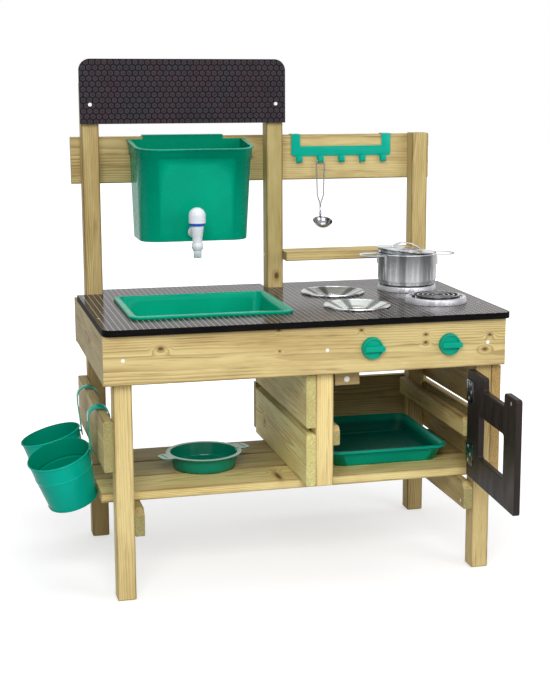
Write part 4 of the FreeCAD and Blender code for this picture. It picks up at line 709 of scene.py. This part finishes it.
def bucket_mouth(along, lean, lift):
    """The middle of a bucket's mouth, and the way that the mouth faces."""
    rail_low, rail_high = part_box("bucket_rail")
    tilt = math.radians(BUCKET_TILT)
    leaning = Matrix.Rotation(math.radians(lean), 3, "X")
    arm = leaning @ Vector((-BUCKET_OFF_RAIL - BUCKET_REACH * math.cos(tilt), 0,
                            -BUCKET_BELOW_RAIL - BUCKET_REACH * math.sin(tilt)))
    hung = Vector((rail_low.x, rail_low.y, rail_high.z)) + Vector((0, along, lift)) * MM
    return tuple(hung + arm * MM), tuple(leaning @ Vector((-math.sin(tilt), 0, math.cos(tilt))))


for node, (along, lean, lift) in BUCKETS.items():
    mouth, axis = bucket_mouth(along, lean, lift)
    bucket = spun(node + "_piece", mouth, outline(BUCKET_PROFILE), axis, steps=120)
    bucket_green = green(node + "_green", (0, 172, 150), rough=0.2, grit=120.0, gloss=0.07, mouth=mouth)
    stand_for(bucket, node, bucket_green)

# Steel pieces.

# The outside from the foot's middle to the rim, then the inside down to the floor, in mm.
BOWL_PROFILE = (
    (0, 0, 0), (34, 0, 6), (60.5, 20.2, 30), (66, 48, 0), (71, 48, 0.4), (71, 50.2, 0.9),
    (65.4, 50.2, 1.2), (59.6, 21, 28), (33.2, 1, 5), (0, 1, 0))

for node in ("front_bowl", "rear_bowl"):
    middle = centre_of(node)
    bowl = spun(node + "_piece", (middle.x, middle.y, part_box(node)[0].z), outline(BOWL_PROFILE))
    bowl_steel = steel("bowl_steel_" + node, (238, 242, 244), middle,
                       rough=0.22, grit=1800.0, metal=0.75, reflection_fans=0.8)
    stand_for(bowl, node, bowl_steel)

for node in ("front_hotplate", "rear_hotplate"):
    middle = centre_of(node)
    plate_steel = steel("plate_steel_" + node, (206, 206, 212), middle,
                        rough=0.34, grit=900.0, metal=0.7, reflection_fans=0.2)
    smoothed(node, plate_steel, edge=0.8 * MM)
smoothed("hotplate_coils", coil_enamel())

pot_steel = steel("pot_steel", (250, 252, 255), centre_of("pot"),
                  rough=0.3, grit=1400.0, metal=0.12, reflection_fans=0.62)
smoothed("pot", pot_steel)
lid_steel = steel("lid_steel", (230, 234, 240), centre_of("pot_lid"),
                  rough=0.2, grit=1400.0, metal=0.7, reflection_fans=0.5)
smoothed("pot_lid", lid_steel)
smoothed("ladle", plain("ladle_steel", (150, 151, 156), rough=0.18, metal=1.0, grit=500.0, relief=0.03))

# Tap.

tap_white = plain("tap_white", (222, 226, 233), rough=0.28, grit=220.0, relief=0.04, vary=0.02, gloss=0.4)
for node in ("tap_body", "tap_cap", "tap_nut"):
    smoothed(node, tap_white)
smoothed("tap_ring", plain("tap_blue", (0, 84, 180), rough=0.3, gloss=0.2))

# Floor, studio and lamps.

scene = bpy.context.scene
scene.view_settings.view_transform = "Standard"

FLOOR_SIZE = 30
FLOOR_GAP = 0.3 * MM
ROOM_GLOW, SOFT_GLOW = 0.55, 0.4
# The bearing of each window in radians, from straight ahead of the kitchen, and its half width.
WINDOWS = ((-0.55, 0.45), (0.6, 0.4))
WHITE = (1, 1, 1, 1)


def seen_white(f):
    """One for the rays that see the background, which are camera, glossy and transmission rays."""
    ray = f.add("ShaderNodeLightPath")
    mirrored = f.calc("ADD", ray.outputs["Is Glossy Ray"], ray.outputs["Is Transmission Ray"])
    return f.calc("MINIMUM", f.calc("ADD", ray.outputs["Is Camera Ray"], mirrored), 1.0)


def floor_paint():
    """Pale paint, which shines white further out, so that the floor meets the background unseen."""
    f = Finish("floor_paint")
    reach = f.vector("LENGTH", f.seen_from(), out="Value")
    mottle = f.cloud(f.seen_from(), 3.0, 2.0)
    f.feed("Base Color", f.over(mottle, eye(196, 197, 199), eye(202, 202, 203)))
    f.fixed(Roughness=0.9, Emission_Color=WHITE)
    glow = f.remap(reach, 0.6, 1.8, 0.56, 1.0, soft=True)
    f.feed("Emission Strength", f.calc("MULTIPLY", seen_white(f), glow))
    return f.material


def studio():
    """A world that lights softly from all round.

    What shines sees a white backdrop behind the kitchen and overhead, and a dimmer room with two tall
    windows in front of it.
    """
    world = bpy.data.worlds.new("studio")
    scene.world = world
    world.use_nodes = True
    room = Graph(world.node_tree)
    x, y, z = room.split(room.where.outputs["Generated"])
    bearing = room.calc("ARCTAN2", x, room.calc("MULTIPLY", y, -1.0))
    windows = room.calc("MAXIMUM", *[room.peak(bearing, at, half) for at, half in WINDOWS])
    behind, overhead = room.remap(y, -0.25, 0.3, soft=True), room.remap(z, 0.35, 0.75, soft=True)
    bright = room.calc("MAXIMUM", windows, room.calc("MAXIMUM", behind, overhead))
    ray = room.add("ShaderNodeLightPath")
    glossy = ray.outputs["Is Glossy Ray"]
    direct = room.calc("MAXIMUM", ray.outputs["Is Camera Ray"], ray.outputs["Is Transmission Ray"])
    mirrored = room.calc("MULTIPLY", glossy, room.remap(bright, 0.0, 1.0, ROOM_GLOW, 1.0))
    others = room.calc("SUBTRACT", 1.0, room.calc("MAXIMUM", direct, glossy))
    glow = room.add("ShaderNodeBackground")
    glow.inputs["Color"].default_value = WHITE
    level = room.calc("ADD", room.calc("MAXIMUM", direct, mirrored), room.calc("MULTIPLY", others, SOFT_GLOW))
    room.put(glow.inputs["Strength"], level)
    room.wire(glow.outputs[0], room.add("ShaderNodeOutputWorld").inputs["Surface"])


def lamp(name, place, aim, size, power):
    """A lamp with a flat face that shines from its place at its aim, with its power in watts."""
    data = bpy.data.lights.new(name, "AREA")
    data.shape = "RECTANGLE"
    data.size, data.size_y = size
    data.energy = power
    thing = bpy.data.objects.new(name, data)
    scene.collection.objects.link(thing)
    way = Vector(aim) - Vector(place)
    thing.matrix_world = Matrix.Translation(place) @ way.to_track_quat("-Z", "Y").to_matrix().to_4x4()


bpy.ops.object.select_all(action="DESELECT")
bpy.ops.mesh.primitive_plane_add(size=FLOOR_SIZE, location=(0, 0, -FLOOR_GAP))
floor = bpy.context.object
floor.name = "floor"
floor.data.materials.append(floor_paint())

studio()
lamp("key", (-0.7, -2.7, 2.3), (0, 0, 0.5), (1.8, 1.6), 68)
lamp("fill", (2.0, -2.2, 1.7), (0.1, 0, 0.5), (1.6, 1.6), 26)
lamp("top", (0.1, 0.3, 2.9), (0.05, 0.1, 0), (1.6, 1.6), 22)

# Camera, as solved from the photograph. Its frame, focal length and optical centre are in pixels.

FRAME_WIDTH, FRAME_HEIGHT = 550, 688
FOCAL_LENGTH = 1453.749
OPTICAL_CENTRE = (327.692, 343.134)
CAMERA_PLACE = (-0.686053, -2.888550, 1.075117)
CAMERA_YAW, CAMERA_PITCH, CAMERA_ROLL = (math.radians(v) for v in (15.78320, 10.97942, 0.16787))
SENSOR_WIDTH = 36


def camera_turn():
    """The camera's axes, from its yaw to the right, its pitch downwards and its roll."""
    ahead = Vector((math.sin(CAMERA_YAW), math.cos(CAMERA_YAW), 0))
    side = Vector((math.cos(CAMERA_YAW), -math.sin(CAMERA_YAW), 0))
    up = Vector((0, 0, 1))
    look = ahead * math.cos(CAMERA_PITCH) - up * math.sin(CAMERA_PITCH)
    top = ahead * math.sin(CAMERA_PITCH) + up * math.cos(CAMERA_PITCH)
    rolled_side = side * math.cos(CAMERA_ROLL) + top * math.sin(CAMERA_ROLL)
    rolled_top = top * math.cos(CAMERA_ROLL) - side * math.sin(CAMERA_ROLL)
    return Matrix((rolled_side, rolled_top, -look)).transposed().to_4x4()


bpy.ops.object.camera_add()
camera = bpy.context.object
scene.camera = camera
camera.matrix_world = Matrix.Translation(CAMERA_PLACE) @ camera_turn()
camera.data.sensor_fit = "HORIZONTAL"
camera.data.sensor_width = SENSOR_WIDTH
camera.data.lens = FOCAL_LENGTH * SENSOR_WIDTH / FRAME_WIDTH
camera.data.shift_x = (FRAME_WIDTH / 2 - OPTICAL_CENTRE[0]) / FRAME_WIDTH
camera.data.shift_y = -(FRAME_HEIGHT / 2 - OPTICAL_CENTRE[1]) / FRAME_WIDTH
camera.data.clip_end = 100
